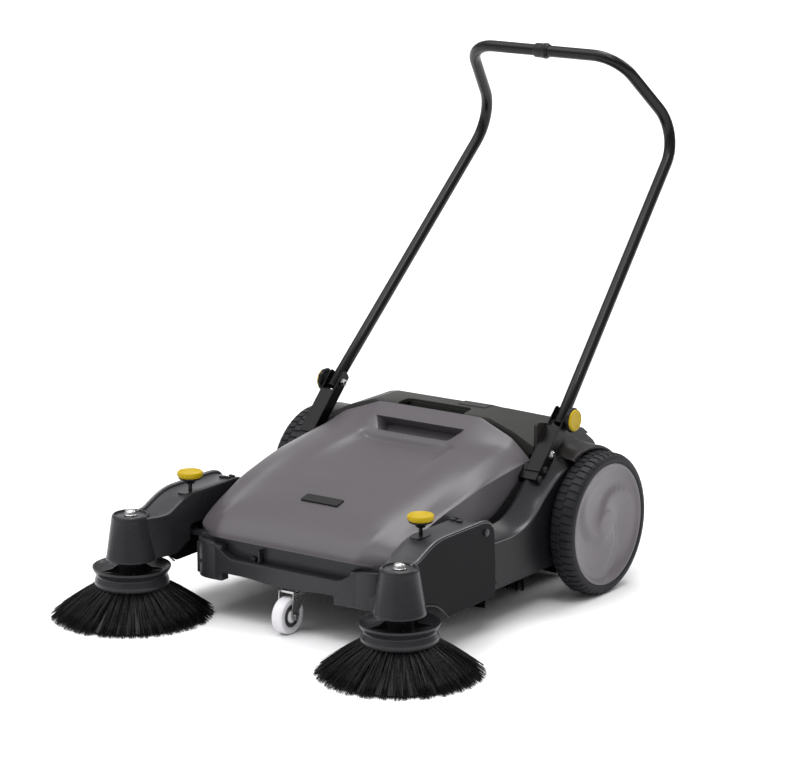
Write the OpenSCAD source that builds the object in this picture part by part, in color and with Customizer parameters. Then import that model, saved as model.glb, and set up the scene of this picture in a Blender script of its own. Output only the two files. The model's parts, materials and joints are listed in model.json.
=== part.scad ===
// Walk behind floor sweeper, pushed by a U-shaped handle. Its two wheels drive a roller brush
// and two side brushes.
// The front of the machine faces -Y and +Z is up. "Left" is the operator's left hand, which is +X.
// Shapes are drawn around the point on the floor under the wheel axle, then shifted so that the
// origin is the middle of the whole machine's footprint.

/* [Wheels] */
// Radius of the tyres, and the height of the wheel axle
wheel_r = 149; // [145:0.5:152]
// Width of each tyre
tyre_w = 54; // [48:1:58]
// Distance from the middle of the machine to the outer face of each tyre
wheel_face_x = 385; // [383:1:392]
// Radius where the tyre sits on the hub
hub_r = 127; // [124:0.5:129]
// Radius of the stub axles
axle_r = 10; // [8:0.5:11]

/* [Side brushes] */
// Distance of each side brush from the middle
brush_x = 334; // [332:1:340]
// Distance of the side brushes ahead of the wheel axle
brush_ahead = 671; // [665:1:690]
// Radius of the bristles at the floor
bristle_r = 168.5; // [150:0.5:172]
// Radius of the dished brush plate
plate_r = 80; // [76:1:84]

/* [Roller brush] */
// Working width of the roller brush
roller_w = 470; // [440:1:476]
// Radius over the bristles of the roller brush
roller_r = 131.5; // [128:0.5:132]
// Radius of the roller's core tube
core_r = 40; // [30:1:50]
// Rows of bristles around the roller
bristle_rows = 8; // [6:1:10]
// Radius of the roller's shaft
shaft_r = 8; // [7:0.5:9]

/* [Wheel gears] */
// Module of the gear teeth
gear_module = 2.5; // [2.5]
// Teeth on the ring inside each wheel
ring_teeth = 86; // [86]
// Teeth on each pinion
pinion_teeth = 14; // [14]
// Drop of the roller's axis below the wheel axle
roller_drop = 17; // [15:1:18]

/* [Belt drive] */
// Radius of the belt's centre line on the wheel pulley
wheel_pulley_r = 32; // [28:0.5:34]
// Radius of the first belt's centre line on the cross pulley
cross_in_r = 20; // [18:0.5:21]
// Radius of the second belt's centre line on the cross pulley
cross_out_r = 12; // [10:0.5:13]
// Radius of the second belt's centre line on the side brush pulley
brush_pulley_r = 9.6; // [9:0.1:10]
// Thickness of the round belts
belt_d = 5; // [4:0.5:6]

/* [Handle] */
// Radius of the handle's steel tube
tube_r = 12.5; // [11:0.5:13]
// Wall of the handle's steel tube
tube_wall = 1.6; // [1.2:0.1:3]
// Height of the handle's top bar
handle_top = 1062; // [1040:1:1070]
// Height of the bend where the handle turns forward
handle_bend = 883; // [870:1:890]
// Distance of that bend behind the wheel axle
handle_back = 497; // [490:1:505]

/* [Body] */
// Distance of the hood's nose ahead of the wheel axle
nose_ahead = 597; // [594:1:600]
// Thickness of the moulded shells
shell = 4; // [3:0.5:4.5]
// Height of the roller tunnel's wall
tunnel_wall = 3; // [2.5:0.5:3.5]

/* [Hidden] */
$fn = 64;

// Gaps between parts
run_gap = 0.05;                         // running fit of a shaft in its bore
lap = 0.3;                              // how far a run reaches into a bend
// Where things are, measured from the floor under the wheel axle
axle_z = wheel_r;
pitch_ring_r = gear_module * ring_teeth / 2;
pitch_pinion_r = gear_module * pinion_teeth / 2;
gear_centre = pitch_ring_r - pitch_pinion_r;
roller_y = -sqrt(pow(gear_centre, 2) - pow(roller_drop, 2));
roller_z = axle_z - roller_drop;
mesh_angle = atan2(-roller_drop, roller_y);
tread_x = wheel_face_x - tyre_w;        // inner face of the tyre
gear_x = tread_x + 6;                   // inner face of the ring gear
gear_w = 12;
brush_y = -brush_ahead;
pivot_y = -392;                         // hinge of the side brush arms
pivot_z = 152;
pin_r = 6;
spindle_r = 4;
wheel_belt_x = 284;                     // plane of the belt from the wheel
brush_pulley_z = 168;
boss_top_z = 212;
boss_bottom_z = 120;
bristle_top_z = 66;
floor_gap = 0.5;
knob_x = 288;                           // height adjusting knobs
knob_y = -535;
caster_y = -563;                        // swivel of the caster
caster_trail = 27;
caster_r = 37.5;
nose_y = -nose_ahead;
hood_rear_y = -97;
container_front_y = -92;
frame_x = 250;                          // inner face of the side plates
frame_t = 6;
front_frame_x = 226;
step_y = -400;                          // where the side plates step out
tunnel_r = roller_r + 8.5;
fold_x = 289;                           // handle pivots
fold_y = -33;
fold_z = 368;
bend_r = 85;
corner_r = 75;
bend_a = [241, handle_back, handle_bend];
bend_b = [188, 331, handle_top];
side_dir = (bend_a - [fold_x, fold_y, fold_z]) / norm(bend_a - [fold_x, fold_y, fold_z]);
top_dir = (bend_b - bend_a) / norm(bend_b - bend_a);
bar_dir = [-1, 0, 0];
lean = atan2(side_dir[2], side_dir[1]); // lean of the handle's uprights
// Furthest points to the front and the back, which set the footprint's middle
bend_turn = acos(side_dir * top_dir);
bend_mid = top_dir - side_dir;
bend_centre = bend_a + bend_mid / norm(bend_mid) * bend_r / cos(bend_turn / 2);
bend_side = cross(side_dir, top_dir) / norm(cross(side_dir, top_dir));
rear_y = bend_centre[1] + bend_r * sqrt(1 - pow(bend_side[1], 2)) + tube_r;
front_y = brush_y - bristle_r;
frame_shift = -(rear_y + front_y) / 2;

// ---------- helpers ----------

// Moves a shape from the axle's own place to the machine's origin.
module place() { translate([0, frame_shift, 0]) children(); }

// The operator's right hand side is the mirror image of the left.
module on_side(side) { if (side > 0) children(); else mirror([1, 0, 0]) children(); }

module both_sides() {
    for (side = [1, -1]) on_side(side) children();
}

// Extrudes a shape drawn as [y, z] from one x to another.
module slab(x_low, x_high) {
    translate([x_low, 0, 0]) rotate([90, 0, 90]) linear_extrude(x_high - x_low) children();
}

// Extrudes a shape drawn as [x, z] from one y to another.
module bulkhead(y_low, y_high) {
    translate([0, y_high, 0]) rotate([90, 0, 0]) linear_extrude(y_high - y_low) children();
}

// A cylinder along X.
module rod_x(x_low, x_high, r) {
    translate([x_low, 0, 0]) rotate([0, 90, 0]) cylinder(h = x_high - x_low, r = r);
}

// Rim of a pulley as [x, radius] points, with a groove for a round belt at x.
function groove(x, rim, floor_r) = [
    [x - 6, rim], [x - 4.2, rim], [x - 2, floor_r], [x + 2, floor_r], [x + 4.2, rim], [x + 6, rim]
];

// Turns a profile of [x, radius] points around the X axis.
module turned_x(points) {
    rotate([0, 90, 0]) rotate_extrude() polygon([for (p = points) [p[1], p[0]]]);
}

module box(low, high) { translate(low) cube(high - low); }

// Puts a shape that points along +Z at p, pointing along direction u, with its +X towards v.
module aim(p, u, v) {
    side = cross(u, v) / norm(cross(u, v));
    front = cross(side, u);
    multmatrix([
        [front[0], side[0], u[0], p[0]],
        [front[1], side[1], u[1], p[1]],
        [front[2], side[2], u[2], p[2]],
        [0, 0, 0, 1]
    ]) children();
}

// Cross section of the steel tube. The bends are a hair thinner than the runs they grow out of.
module tube_ring(hair) {
    difference() {
        circle(r = tube_r - hair);
        circle(r = tube_r - tube_wall + hair);
    }
}

// A straight tube from p to q, reaching a little into the bend at each end.
module tube_run(p, q) {
    u = (q - p) / norm(q - p);
    aim(p - u * lap, u, abs(u[0]) > 0.9 ? [0, 1, 0] : [1, 0, 0])
        linear_extrude(norm(q - p) + 2 * lap) tube_ring(0);
}

// A bent tube at corner p, turning from direction u to direction v around radius r.
module tube_bend(p, u, v, r) {
    turn = acos(u * v);
    start = p - u * r * tan(turn / 2);
    inward = (v - u * (u * v)) / norm(v - u * (u * v));
    aim(start + inward * r, cross(-inward, u), -inward)
        rotate_extrude(angle = turn) translate([r, 0]) tube_ring(0.04);
}

function tangent_length(u, v, r) = r * tan(acos(u * v) / 2);

// Skins a row of folded outlines: each goes out along a shell and comes back along its inner face.
module loft(rings) {
    n = len(rings[0]);
    last = len(rings) - 1;
    polyhedron(
        points = [for (ring = rings) for (p = ring) p],
        faces = concat(
            [for (i = [0:n / 2 - 2]) for (f = [[i, i + 1, n - 2 - i], [i, n - 2 - i, n - 1 - i]]) f],
            [for (k = [0:last - 1]) for (i = [0:n - 1])
                [k * n + i, (k + 1) * n + i, (k + 1) * n + (i + 1) % n]],
            [for (k = [0:last - 1]) for (i = [0:n - 1])
                [k * n + i, (k + 1) * n + (i + 1) % n, k * n + (i + 1) % n]],
            [for (i = [0:n / 2 - 2]) for (f = [[i, n - 2 - i, i + 1], [i, n - 1 - i, n - 2 - i]])
                [for (k = f) last * n + k]]
        )
    );
}

// A half outline of [x, z] points made whole across the middle, from -x to +x.
function mirrored(half) = concat(
    [for (i = [len(half) - 1:-1:1]) [-half[i][0], half[i][1]]], half);

// Gear teeth: straight flanks around a pitch circle.
// sign +1 puts the teeth outside the root circle, -1 inside it.
function gear_outline(teeth, pitch_r, sign) =
    let (addendum = 0.75 * gear_module, dedendum = 1.05 * gear_module,
         half = 90 / teeth - 0.2 / pitch_r * 180 / PI,
         flank = tan(20) * 180 / PI / pitch_r)
    [for (i = [0:teeth - 1]) for (p = [
        [-half - dedendum * flank, pitch_r - sign * dedendum],
        [-half + addendum * flank, pitch_r + sign * addendum],
        [half - addendum * flank, pitch_r + sign * addendum],
        [half + dedendum * flank, pitch_r - sign * dedendum]])
        let (a = i * 360 / teeth + p[0]) p[1] * [cos(a), sin(a)]];

// ---------- hood ----------

// Half sections of the hood from nose to rear:
// [y, crown z, crease x, crease z, shoulder x, shoulder z, edge x, edge z, skirt z]
HOOD = [
    [nose_y,       190, 120, 189, 168, 186, 176, 180, 173],
    [nose_y + 8,   202, 130, 201, 178, 196, 196, 186, 173],
    [nose_y + 20,  212, 140, 211, 184, 206, 214, 192, 174],
    [nose_y + 41,  224, 152, 223, 190, 217, 238, 194, 175],
    [nose_y + 97,  241, 158, 241, 196, 233, 247, 216, 180],
    [-410,         263, 152, 265, 204, 256, 255, 247, 184],
    [-340,         276, 146, 282, 209, 273, 259, 263, 189],
    [-286,         286, 136, 294, 213, 286, 261, 273, 194],
    [-246,         293, 128, 301, 217, 293, 261, 279, 198],
    [-200,         301, 121, 308, 221, 301, 261, 284, 226],
    [-172,         304, 118, 315, 224, 306, 261, 286, 245],
    [-148,         322, 122, 326, 224, 312, 261, 288, 262],
    [-124,         342, 130, 344, 220, 324, 261, 290, 274],
    [hood_rear_y - 8, 359, 135, 359, 216, 331, 261, 292, 280],
    [hood_rear_y,  364, 138, 364, 214, 334, 261, 292, 282]
];

function hood_half(s) = [
    [0, s[1]], [s[2] * 0.5, s[1] * 0.9 + s[3] * 0.1], [s[2], s[3]],
    [(s[2] + s[4]) / 2, s[3] * 0.42 + s[5] * 0.58], [s[4], s[5]],
    [(s[4] + s[6]) / 2, s[5] * 0.42 + s[7] * 0.58], [s[6], s[7]], [s[6] - 1, s[8]]
];
function hood_inner(s) = [for (p = hood_half(s)) [max(p[0] - shell * p[0] / s[6], 0),
    max(p[1] - shell, s[8])]];
function hood_ring(s) = concat(
    [for (p = mirrored(hood_half(s))) [p[0], s[0], p[1]]],
    [for (i = [len(mirrored(hood_inner(s))) - 1:-1:0])
        let (p = mirrored(hood_inner(s))[i]) [p[0], s[0], p[1]]]
);

grip_half = 108;                        // half width of the grip pocket in the hood
grip_low_y = -170;
grip_high_y = -124;
grip_floor_z = 296;
grip_bottom_z = 285;
grip_wall = 3;

// Space of the grip pocket: a sloped front, a floor, and a rear that undercuts the hood.
// grow moves its sides, floor, front and rear outwards.
module grip_pocket(grow) {
    floor_z = grip_floor_z - grow;
    slab(-grip_half - grow, grip_half + grow) polygon([
        [grip_low_y - grow, 400], [grip_low_y - grow, 306 - grow],
        [grip_low_y + 16 - grow, floor_z], [grip_high_y + 14 + grow, floor_z],
        [grip_high_y + 14 + grow, 330], [grip_high_y + grow, 346], [grip_high_y + grow, 400]
    ]);
}

// Everything from grip_bottom_z up to just under the hood's outer surface, around the pocket.
function under_half(s) = [for (i = [0:4]) [hood_half(s)[i][0], hood_half(s)[i][1] - 1.5]];
function under_ring(s) =
    let (top = mirrored(under_half(s)))
    concat([for (p = top) [p[0], s[0], p[1]]],
        [for (i = [len(top) - 1:-1:0]) [top[i][0], s[0], grip_bottom_z]]);

// ---------- chassis ----------

module chassis_frame() {
    plate = [[step_y, 90], [-300, 80], [-60, 80], [40, 58], [150, 58], [150, 200], [60, 288],
        [-160, 278], [-250, 262], [-276, 254], [-282, 186], [step_y, 178]];
    front = [[-586, 88], [step_y + frame_t, 84], [step_y + frame_t, 222], [-500, 196], [-540, 156],
        [-586, 152]];
    color("dimgray") place() difference() {
        union() {
            both_sides() {
                slab(frame_x, frame_x + frame_t) polygon(plate);
                slab(front_frame_x, front_frame_x + frame_t) polygon(front);
                box([front_frame_x, step_y, 90], [frame_x, step_y + frame_t, 222]);
                box([frame_x - 1, step_y, 90], [frame_x + frame_t, step_y + frame_t, 178]);
                translate([0, pivot_y, pivot_z]) rod_x(frame_x, frame_x + frame_t + 4, 14);
                translate([0, 0, axle_z]) rod_x(frame_x, frame_x + frame_t + 12, 26);
                box([front_frame_x + 1, -543, 149], [knob_x + 16, -520, 156]);
            }
            box([-frame_x, step_y - 20, 150], [frame_x, step_y, 170]);
            box([-frame_x, -262, 96], [frame_x, -242, 116]);
            box([-frame_x - 1, 64, 58], [frame_x + 1, 150, 65]);
        }
        both_sides() {
            translate([0, pivot_y, pivot_z]) rod_x(frame_x - 1, frame_x + 20, pin_r);
            translate([0, 0, axle_z]) rod_x(frame_x - 1, frame_x + 20, axle_r);
            translate([0, roller_y, roller_z]) rod_x(frame_x - 1, frame_x + 20, 14);
        }
    }
}

// The bumper across the front: a lower lip, a set back wall, and a round block at each corner.
module front_bumper() {
    block = [[-10, 82], [-10, 158], [4, 166], [40, 166], [52, 150], [52, 84]];
    color("#2b2b2e") place() difference() {
        union() {
            slab(-232, 232) polygon([[nose_y - 4, 100], [nose_y - 4, 134], [nose_y + 20, 138],
                [nose_y + 20, 171], [nose_y + 26, 171], [nose_y + 26, 132], [nose_y + 2, 128],
                [nose_y + 2, 100]]);
            box([-226, nose_y + 2, 112], [226, -525, 118]);
            both_sides() translate([0, nose_y, 0]) intersection() {
                slab(160, 242) polygon(block);
                union() {
                    translate([196, 46, 80]) cylinder(h = 90, r = 46);
                    box([160, 0, 80], [196, 60, 170]);
                    box([190, 46, 80], [242, 60, 170]);
                }
            }
        }
        both_sides() box([164, nose_y + 4, 80], [front_frame_x + frame_t + 1, -500, 158]);
    }
}

module roller_tunnel() {
    color("#3a3a3d") place() translate([0, roller_y, roller_z]) slab(-frame_x, frame_x)
        difference() {
            circle(r = tunnel_r + tunnel_wall, $fn = 96);
            circle(r = tunnel_r, $fn = 96);
            polygon([[0, 0], [300, 140], [300, -300], [-300, -300], [-300, -30]]);
        }
}

// Rubber strips that keep the dirt in, at the front of the tunnel and under the container.
module dirt_flaps() {
    color("#17171a") place() {
        box([-frame_x + 12, -241.5, 4], [frame_x - 12, -237.5, 108]);
        box([-frame_x + 12, 54, 3], [frame_x - 12, 58, 60]);
        box([-frame_x, 54, 56], [frame_x, 64, 60]);
    }
}

// Rubber strips beside the tunnel, tucked up behind the side covers.
side_seal_low = 48;
module side_seals() {
    color("#17171a") place() both_sides() {
        box([frame_x - 8, -232, side_seal_low], [frame_x - 4, 50, 96]);
        box([frame_x - 4, -232, 84], [frame_x, 50, 96]);
    }
}

// Outline of a side cover at one station: [y, ridge z, outer edge z]
COVER = [
    [-354, 196, 180], [-318, 197, 178], [-270, 199, 177], [-236, 206, 181], [-205, 222, 191],
    [-178, 242, 207], [-152, 264, 228], [-126, 283, 246], [-100, 298, 262], [-66, 306, 276]
];
cover_x = 271;
cover_out_x = 325;
cover_screws_y = [-328, -94];
cover_screws_z = 91;

function cover_ring(s) =
    let (y = s[0], hi = s[1], lo = s[2], w = cover_out_x - cover_x)
    [
        [cover_x, y, hi], [cover_x + 0.22 * w, y, lo + 0.6 * (hi - lo)],
        [cover_x + 0.5 * w, y, lo + 0.22 * (hi - lo)], [cover_out_x - 5, y, lo], [cover_out_x, y, lo - 4],
        [cover_out_x, y, 79], [cover_out_x - shell, y, 79], [cover_out_x - shell, y, lo - 9],
        [cover_out_x - shell - 4, y, lo - 6],
        [cover_x + 0.5 * w, y, lo + 0.22 * (hi - lo) - 6],
        [cover_x + 0.22 * w - 3, y, lo + 0.6 * (hi - lo) - 7], [cover_x, y, hi - 9]
    ];

module side_cover(side) {
    color("#2f2f32") place() on_side(side) difference() {
        union() {
            loft([for (s = COVER) cover_ring(s)]);
            for (y = cover_screws_y)
                box([frame_x + frame_t, y - 2, 84], [cover_out_x - 1, y + 2, 98]);
        }
        bracket_space(2);
        foot_space();
        for (y = cover_screws_y)
            translate([0, y, cover_screws_z]) rod_x(cover_out_x - 20, cover_out_x + 1, 1.55);
        translate([0, roller_y, roller_z]) rod_x(cover_x, cover_out_x + 5, shaft_r + 4);
    }
}
module side_cover_left() { side_cover(1); }
module side_cover_right() { side_cover(-1); }

// Outline of a fender at one station: [y, left inner z, right inner z, lip z]
// The left one rises to a tower beside the container, on the side that drives the roller.
FENDER = [
    [-64, 306, 300, 289], [-50, 318, 306, 297], [-30, 334, 312, 303], [0, 330, 312, 305],
    [34, 306, 302, 301], [66, 282, 282, 290], [94, 254, 254, 273], [118, 222, 222, 250],
    [136, 186, 186, 225]
];
fender_x = 270;
fender_out_x = 338;
inner_wall_foot = [[112, 250], [136, 200], [136, 176], [84, 176], [40, 270]];
left_inner_wall = concat([[-100, 298], [-100, 364], [-90, 369], [-32, 355], [49, 312], [94, 272]],
    inner_wall_foot);
right_inner_wall = concat([[-100, 298], [-60, 304], [20, 312], [72, 290]], inner_wall_foot);

function fender_ring(s, side) =
    let (y = s[0], hi = side > 0 ? s[1] : s[2], lip = s[3])
    [
        [fender_x - 2, y, hi], [fender_x + 16, y, hi - 1], [fender_out_x - 14, y, lip + 5],
        [fender_out_x, y, lip], [fender_out_x, y, lip - 4], [fender_out_x - 14, y, lip - 1],
        [fender_x + 16, y, hi - 7], [fender_x - 2, y, hi - 9]
    ];

module fender(side) {
    color("#4a4745") place() on_side(side) difference() {
        union() {
            loft([for (s = FENDER) fender_ring(s, side)]);
            slab(fender_x - 7, fender_x + 0.4) polygon(side > 0 ? left_inner_wall : right_inner_wall);
            box([frame_x + frame_t, 90, 182], [fender_x - 6, 130, 190]);
        }
        bracket_space(1.7);
    }
}
module fender_left() { fender(1); }
module fender_right() { fender(-1); }

module hood() {
    color("#74706f") place() difference() {
        union() {
            loft([for (s = HOOD) hood_ring(s)]);
            intersection() {
                grip_pocket(grip_wall);
                loft([for (s = HOOD) if (s[0] > -210) under_ring(s)]);
            }
        }
        grip_pocket(0);
        both_sides() foot_space();
    }
}

// Blank plate that lies on the hood's front slope.
badge_y = -470;
badge_z = 248.45;
badge_tilt = atan2(263 - 241, 90);
module hood_badge() {
    color("#3d3d40") place() translate([0, badge_y, badge_z]) rotate([badge_tilt, 0, 0])
        translate([-46, -13, 0]) cube([92, 26, 2.5]);
}

// ---------- handle ----------

// The channel each handle tube stands in, drawn along the handle's lean around its pivot.
module along_handle() {
    translate([fold_x, fold_y, fold_z]) rotate([lean, 0, 0]) children();
}

// Offsets from the pivot: across the machine, then up along the handle, then square to both.
inner_cheek_x = -15.2;                  // the tube leans inwards, so the gap is wider on the inside
outer_cheek_x = 14;
cheek_t = 3;
cheek_low = -140;
cheek_high = 24;
stop_low = 15;                          // clears the foot of the tube as the handle turns
web_high = -28;
stem_low = -158;
stem_high = -26;
stem_bolts = [-126, -149];
cheek_bolt = -88;
module bracket_space(grow) {
    along_handle() box([inner_cheek_x - cheek_t - grow, stem_low - grow, -16 - grow],
        [outer_cheek_x + cheek_t + grow, cheek_high + grow, 16 + grow]);
}

// Room for the foot that ties the bracket to the side plate.
module foot_space() {
    bracket_space(1.5);
    along_handle() box([frame_x + frame_t - fold_x - 1, stem_low - 2, -13], [0, -118, 13]);
}

module handle_brackets() {
    color("#1e1e20") place() both_sides() difference() {
        along_handle() union() {
            for (x = [inner_cheek_x - cheek_t, outer_cheek_x])
                box([x, cheek_low, -15.8], [x + cheek_t, cheek_high, 15.8]);
            box([inner_cheek_x - 1, cheek_low, 12.8], [outer_cheek_x + 1, web_high, 15.8]);
            box([inner_cheek_x - 1, stop_low, -15.8], [outer_cheek_x + 1, cheek_high, -13]);
            box([inner_cheek_x - 1, stem_low, -11], [outer_cheek_x + 1, stem_high, 11]);
            box([frame_x + frame_t - fold_x, stem_low, -11], [0, -120, 11]);
        }
        along_handle() rod_x(-40, 40, 4.05);
        for (w = stem_bolts) along_handle() translate([0, w, 0]) rod_x(-40, 40, 4);
        along_handle() translate([0, cheek_bolt, 0]) rod_x(-40, 40, 4);
    }
}

module bolt_x(x_low, x_high, r, head_r, head_h) {
    rod_x(x_low, x_high, r);
    translate([x_high, 0, 0]) rotate([0, 90, 0]) cylinder(h = head_h, r = head_r, $fn = 6);
}

// The upper stem bolt's head sits on the outer cheek, the lower one's on the stem below it.
function bolt_seat(w) = w - 7 > cheek_low ? outer_cheek_x + cheek_t : outer_cheek_x + 1;

module bracket_bolts() {
    color("silver") place() both_sides() along_handle() {
        for (w = stem_bolts) translate([0, w, 0])
            bolt_x(frame_x + frame_t - fold_x, bolt_seat(w), 3.95, 7, 4);
        translate([0, cheek_bolt, 0])
            bolt_x(inner_cheek_x - cheek_t, outer_cheek_x + cheek_t, 3.95, 7, 4);
        translate([inner_cheek_x - cheek_t - 6, 0, 0]) difference() {
            rotate([0, 90, 0]) cylinder(h = 5.9, r = 7.5, $fn = 6);
            rod_x(-1, 8, 4.05);
        }
    }
}

module handle_tube(side) {
    foot = [fold_x, fold_y, fold_z] - side_dir * 13;
    a_in = tangent_length(side_dir, top_dir, bend_r);
    b_in = tangent_length(top_dir, bar_dir, corner_r);
    color("#1b1b1d") place() on_side(side) difference() {
        union() {
            tube_run(foot, bend_a - side_dir * a_in);
            tube_bend(bend_a, side_dir, top_dir, bend_r);
            tube_run(bend_a + top_dir * a_in, bend_b - top_dir * b_in);
            tube_bend(bend_b, top_dir, bar_dir, corner_r);
            tube_run(bend_b + bar_dir * b_in, [lap + 0.1, bend_b[1], bend_b[2]]);
        }
        translate([fold_x, fold_y, fold_z]) rod_x(-30, 30, 4.05);
    }
}
module handle_tube_left() { handle_tube(1); }
module handle_tube_right() { handle_tube(-1); }

// The collar that joins the two halves of the handle.
module handle_sleeve() {
    color("#5b5b5d") place() translate([0, bend_b[1], bend_b[2]]) difference() {
        turned_x([[-17, 0], [-17, tube_r + 2], [-15, tube_r + 3.5], [4, tube_r + 3.5], [5, tube_r + 4.5],
            [12, tube_r + 4.5], [13, tube_r + 3], [17, tube_r + 2], [17, 0]]);
        rod_x(-20, 20, tube_r + 0.05);
    }
}

module handle_plugs() {
    color("#1b1b1d") place() both_sides() {
        foot = [fold_x, fold_y, fold_z] - side_dir * 13;
        difference() {
            union() {
                aim(foot - side_dir * (lap + 0.2), side_dir, [1, 0, 0])
                    cylinder(h = 20, r = tube_r - tube_wall - 0.05);
                aim(foot - side_dir * (lap + 2), side_dir, [1, 0, 0])
                    cylinder(h = 2, r = tube_r - 0.5);
            }
            translate([fold_x, fold_y, fold_z]) rod_x(-30, 30, 4.05);
        }
    }
}

// Star knob that clamps the handle: its stud runs through the bracket and the tube.
module clamp_knob(side) {
    color("#202022") place() on_side(side) translate([fold_x, fold_y, fold_z]) {
        seat = outer_cheek_x + cheek_t + 0.2;
        rod_x(inner_cheek_x - cheek_t - 7, 25, 4);
        turned_x([[seat, 0], [seat, 12], [seat + 2.8, 15], [seat + 4.8, 24.5], [29, 25.5], [31, 24.5],
            [31, 0]]);
    }
}
module clamp_knob_left() { clamp_knob(1); }
module clamp_knob_right() { clamp_knob(-1); }

module clamp_cap(side) {
    color("#e8c72c") place() on_side(side) translate([fold_x, fold_y, fold_z])
        turned_x([[31, 0], [31, 22.5], [34, 22], [35.5, 19.5], [34.6, 17.5], [34.6, 0]]);
}
module clamp_cap_left() { clamp_cap(1); }
module clamp_cap_right() { clamp_cap(-1); }

// ---------- wheels ----------

module stub_axles() {
    color("silver") place() both_sides() translate([0, 0, axle_z]) {
        rod_x(frame_x - 3, wheel_face_x - 14, axle_r);
        rod_x(frame_x - 6, frame_x - 0.2, 17);
    }
}

module tyre(side) {
    color("#1a1a1c") place() on_side(side) translate([0, 0, axle_z]) turned_x([
        [tread_x, hub_r], [tread_x, wheel_r - 9], [tread_x + 5, wheel_r - 2.5], [tread_x + 13, wheel_r],
        [wheel_face_x - 13, wheel_r], [wheel_face_x - 5, wheel_r - 2.5], [wheel_face_x, wheel_r - 9],
        [wheel_face_x, hub_r]
    ]);
}
module tyre_left() { tyre(1); }
module tyre_right() { tyre(-1); }

module hub(side) {
    sleeve_x = wheel_belt_x - 6;
    color("#6d6a69") place() on_side(side) translate([0, 0, axle_z]) turned_x([
        [sleeve_x, axle_r + run_gap], [sleeve_x, 20], [tread_x - 25, 20], [tread_x + 36, 22],
        [tread_x + 38, 118],
        [tread_x + 1, 118], [tread_x + 1, hub_r], [wheel_face_x - 1, hub_r], [wheel_face_x - 1, 121],
        [wheel_face_x - 9, 112], [wheel_face_x - 10, 50], [wheel_face_x - 4, 30], [wheel_face_x - 3, 0],
        [wheel_face_x - 13, 0], [wheel_face_x - 13, axle_r + run_gap]
    ]);
}
module hub_left() { hub(1); }
module hub_right() { hub(-1); }

// Ring gear for the roller and grooved pulley for the side brush, on the back of the wheel.
module drive_ring(side) {
    x = wheel_belt_x;
    rim = groove(x, wheel_pulley_r + belt_d / 2 + 1, wheel_pulley_r - belt_d / 2 - 0.1);
    color("#8a8a88") place() on_side(side) translate([0, 0, axle_z]) {
        difference() {
            rod_x(gear_x, gear_x + gear_w, 117.9);
            slab(gear_x - 1, gear_x + gear_w + 1) rotate(mesh_angle + 180 / ring_teeth)
                polygon(gear_outline(ring_teeth, pitch_ring_r, -1));
        }
        turned_x(concat([[x - 6, 20.05]], rim, [[x + 6, 30], [x + 14, 24], [x + 14, 20.05]]));
    }
}
module drive_ring_left() { drive_ring(1); }
module drive_ring_right() { drive_ring(-1); }

// ---------- roller brush ----------

module roller_shaft() {
    color("silver") place() translate([0, roller_y, roller_z])
        rod_x(-gear_x - gear_w - 2, gear_x + gear_w + 2, shaft_r);
}

module roller_core() {
    color("#3b3b3e") place() translate([0, roller_y, roller_z]) difference() {
        rod_x(-roller_w / 2, roller_w / 2, core_r);
        rod_x(-roller_w / 2 + 8, roller_w / 2 - 8, core_r - 3);
        rod_x(-roller_w, roller_w, shaft_r + 0.02);
    }
}

// Rows of bristles along the roller.
module roller_bristles() {
    color("#1c1c1e") place() translate([0, roller_y, roller_z]) slab(-roller_w / 2 + 2, roller_w / 2 - 2)
        difference() {
            intersection() {
                circle(r = roller_r);
                union() {
                    for (i = [0:bristle_rows - 1]) rotate(i * 360 / bristle_rows)
                        translate([0, -6]) square([roller_r + 5, 12]);
                    circle(r = core_r + 4);
                }
            }
            circle(r = core_r + 0.05);
        }
}

module pinion_shape(bore) {
    slab(gear_x + 0.5, gear_x + gear_w - 0.5) difference() {
        rotate(mesh_angle) polygon(gear_outline(pinion_teeth, pitch_pinion_r, 1));
        circle(r = bore);
    }
}
module pinion_left() {
    color("#d8d4c8") place() translate([0, roller_y, roller_z]) pinion_shape(shaft_r + 0.02);
}
module pinion_right() {
    color("#d8d4c8") place() translate([0, roller_y, roller_z]) mirror([1, 0, 0])
        pinion_shape(shaft_r + run_gap);
}

module roller_bearings() {
    color("#c9c4b4") place() both_sides() translate([0, roller_y, roller_z]) difference() {
        union() {
            rod_x(frame_x - 6, frame_x + frame_t, 13.95);
            rod_x(frame_x + frame_t + 0.1, frame_x + frame_t + 4, 18);
            rod_x(frame_x + frame_t, frame_x + frame_t + 2, 13.95);
        }
        rod_x(frame_x - 10, frame_x + frame_t + 8, shaft_r + run_gap);
    }
}

// ---------- belt drive ----------

// A closed round belt in the Y-Z plane between two pulleys, drawn as two runs and two arcs.
module flat_belt(y_a, z_a, r_a, y_b, z_b, r_b) {
    span = norm([y_b - y_a, z_b - z_a]);
    base = atan2(z_b - z_a, y_b - y_a);
    open = acos((r_a - r_b) / span);
    for (s = [1, -1]) {
        n = [cos(base + s * open), sin(base + s * open)];
        p = [0, y_a + n[0] * r_a, z_a + n[1] * r_a];
        q = [0, y_b + n[0] * r_b, z_b + n[1] * r_b];
        u = (q - p) / norm(q - p);
        aim(p - u * lap, u, [1, 0, 0]) cylinder(h = norm(q - p) + 2 * lap, r = belt_d / 2 - 0.04);
    }
    translate([0, y_a, z_a]) rotate([90, 0, 90]) rotate(base + open)
        rotate_extrude(angle = 360 - 2 * open) translate([r_a, 0]) circle(r = belt_d / 2);
    translate([0, y_b, z_b]) rotate([90, 0, 90]) rotate(base - open)
        rotate_extrude(angle = 2 * open) translate([r_b, 0]) circle(r = belt_d / 2);
}

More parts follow.
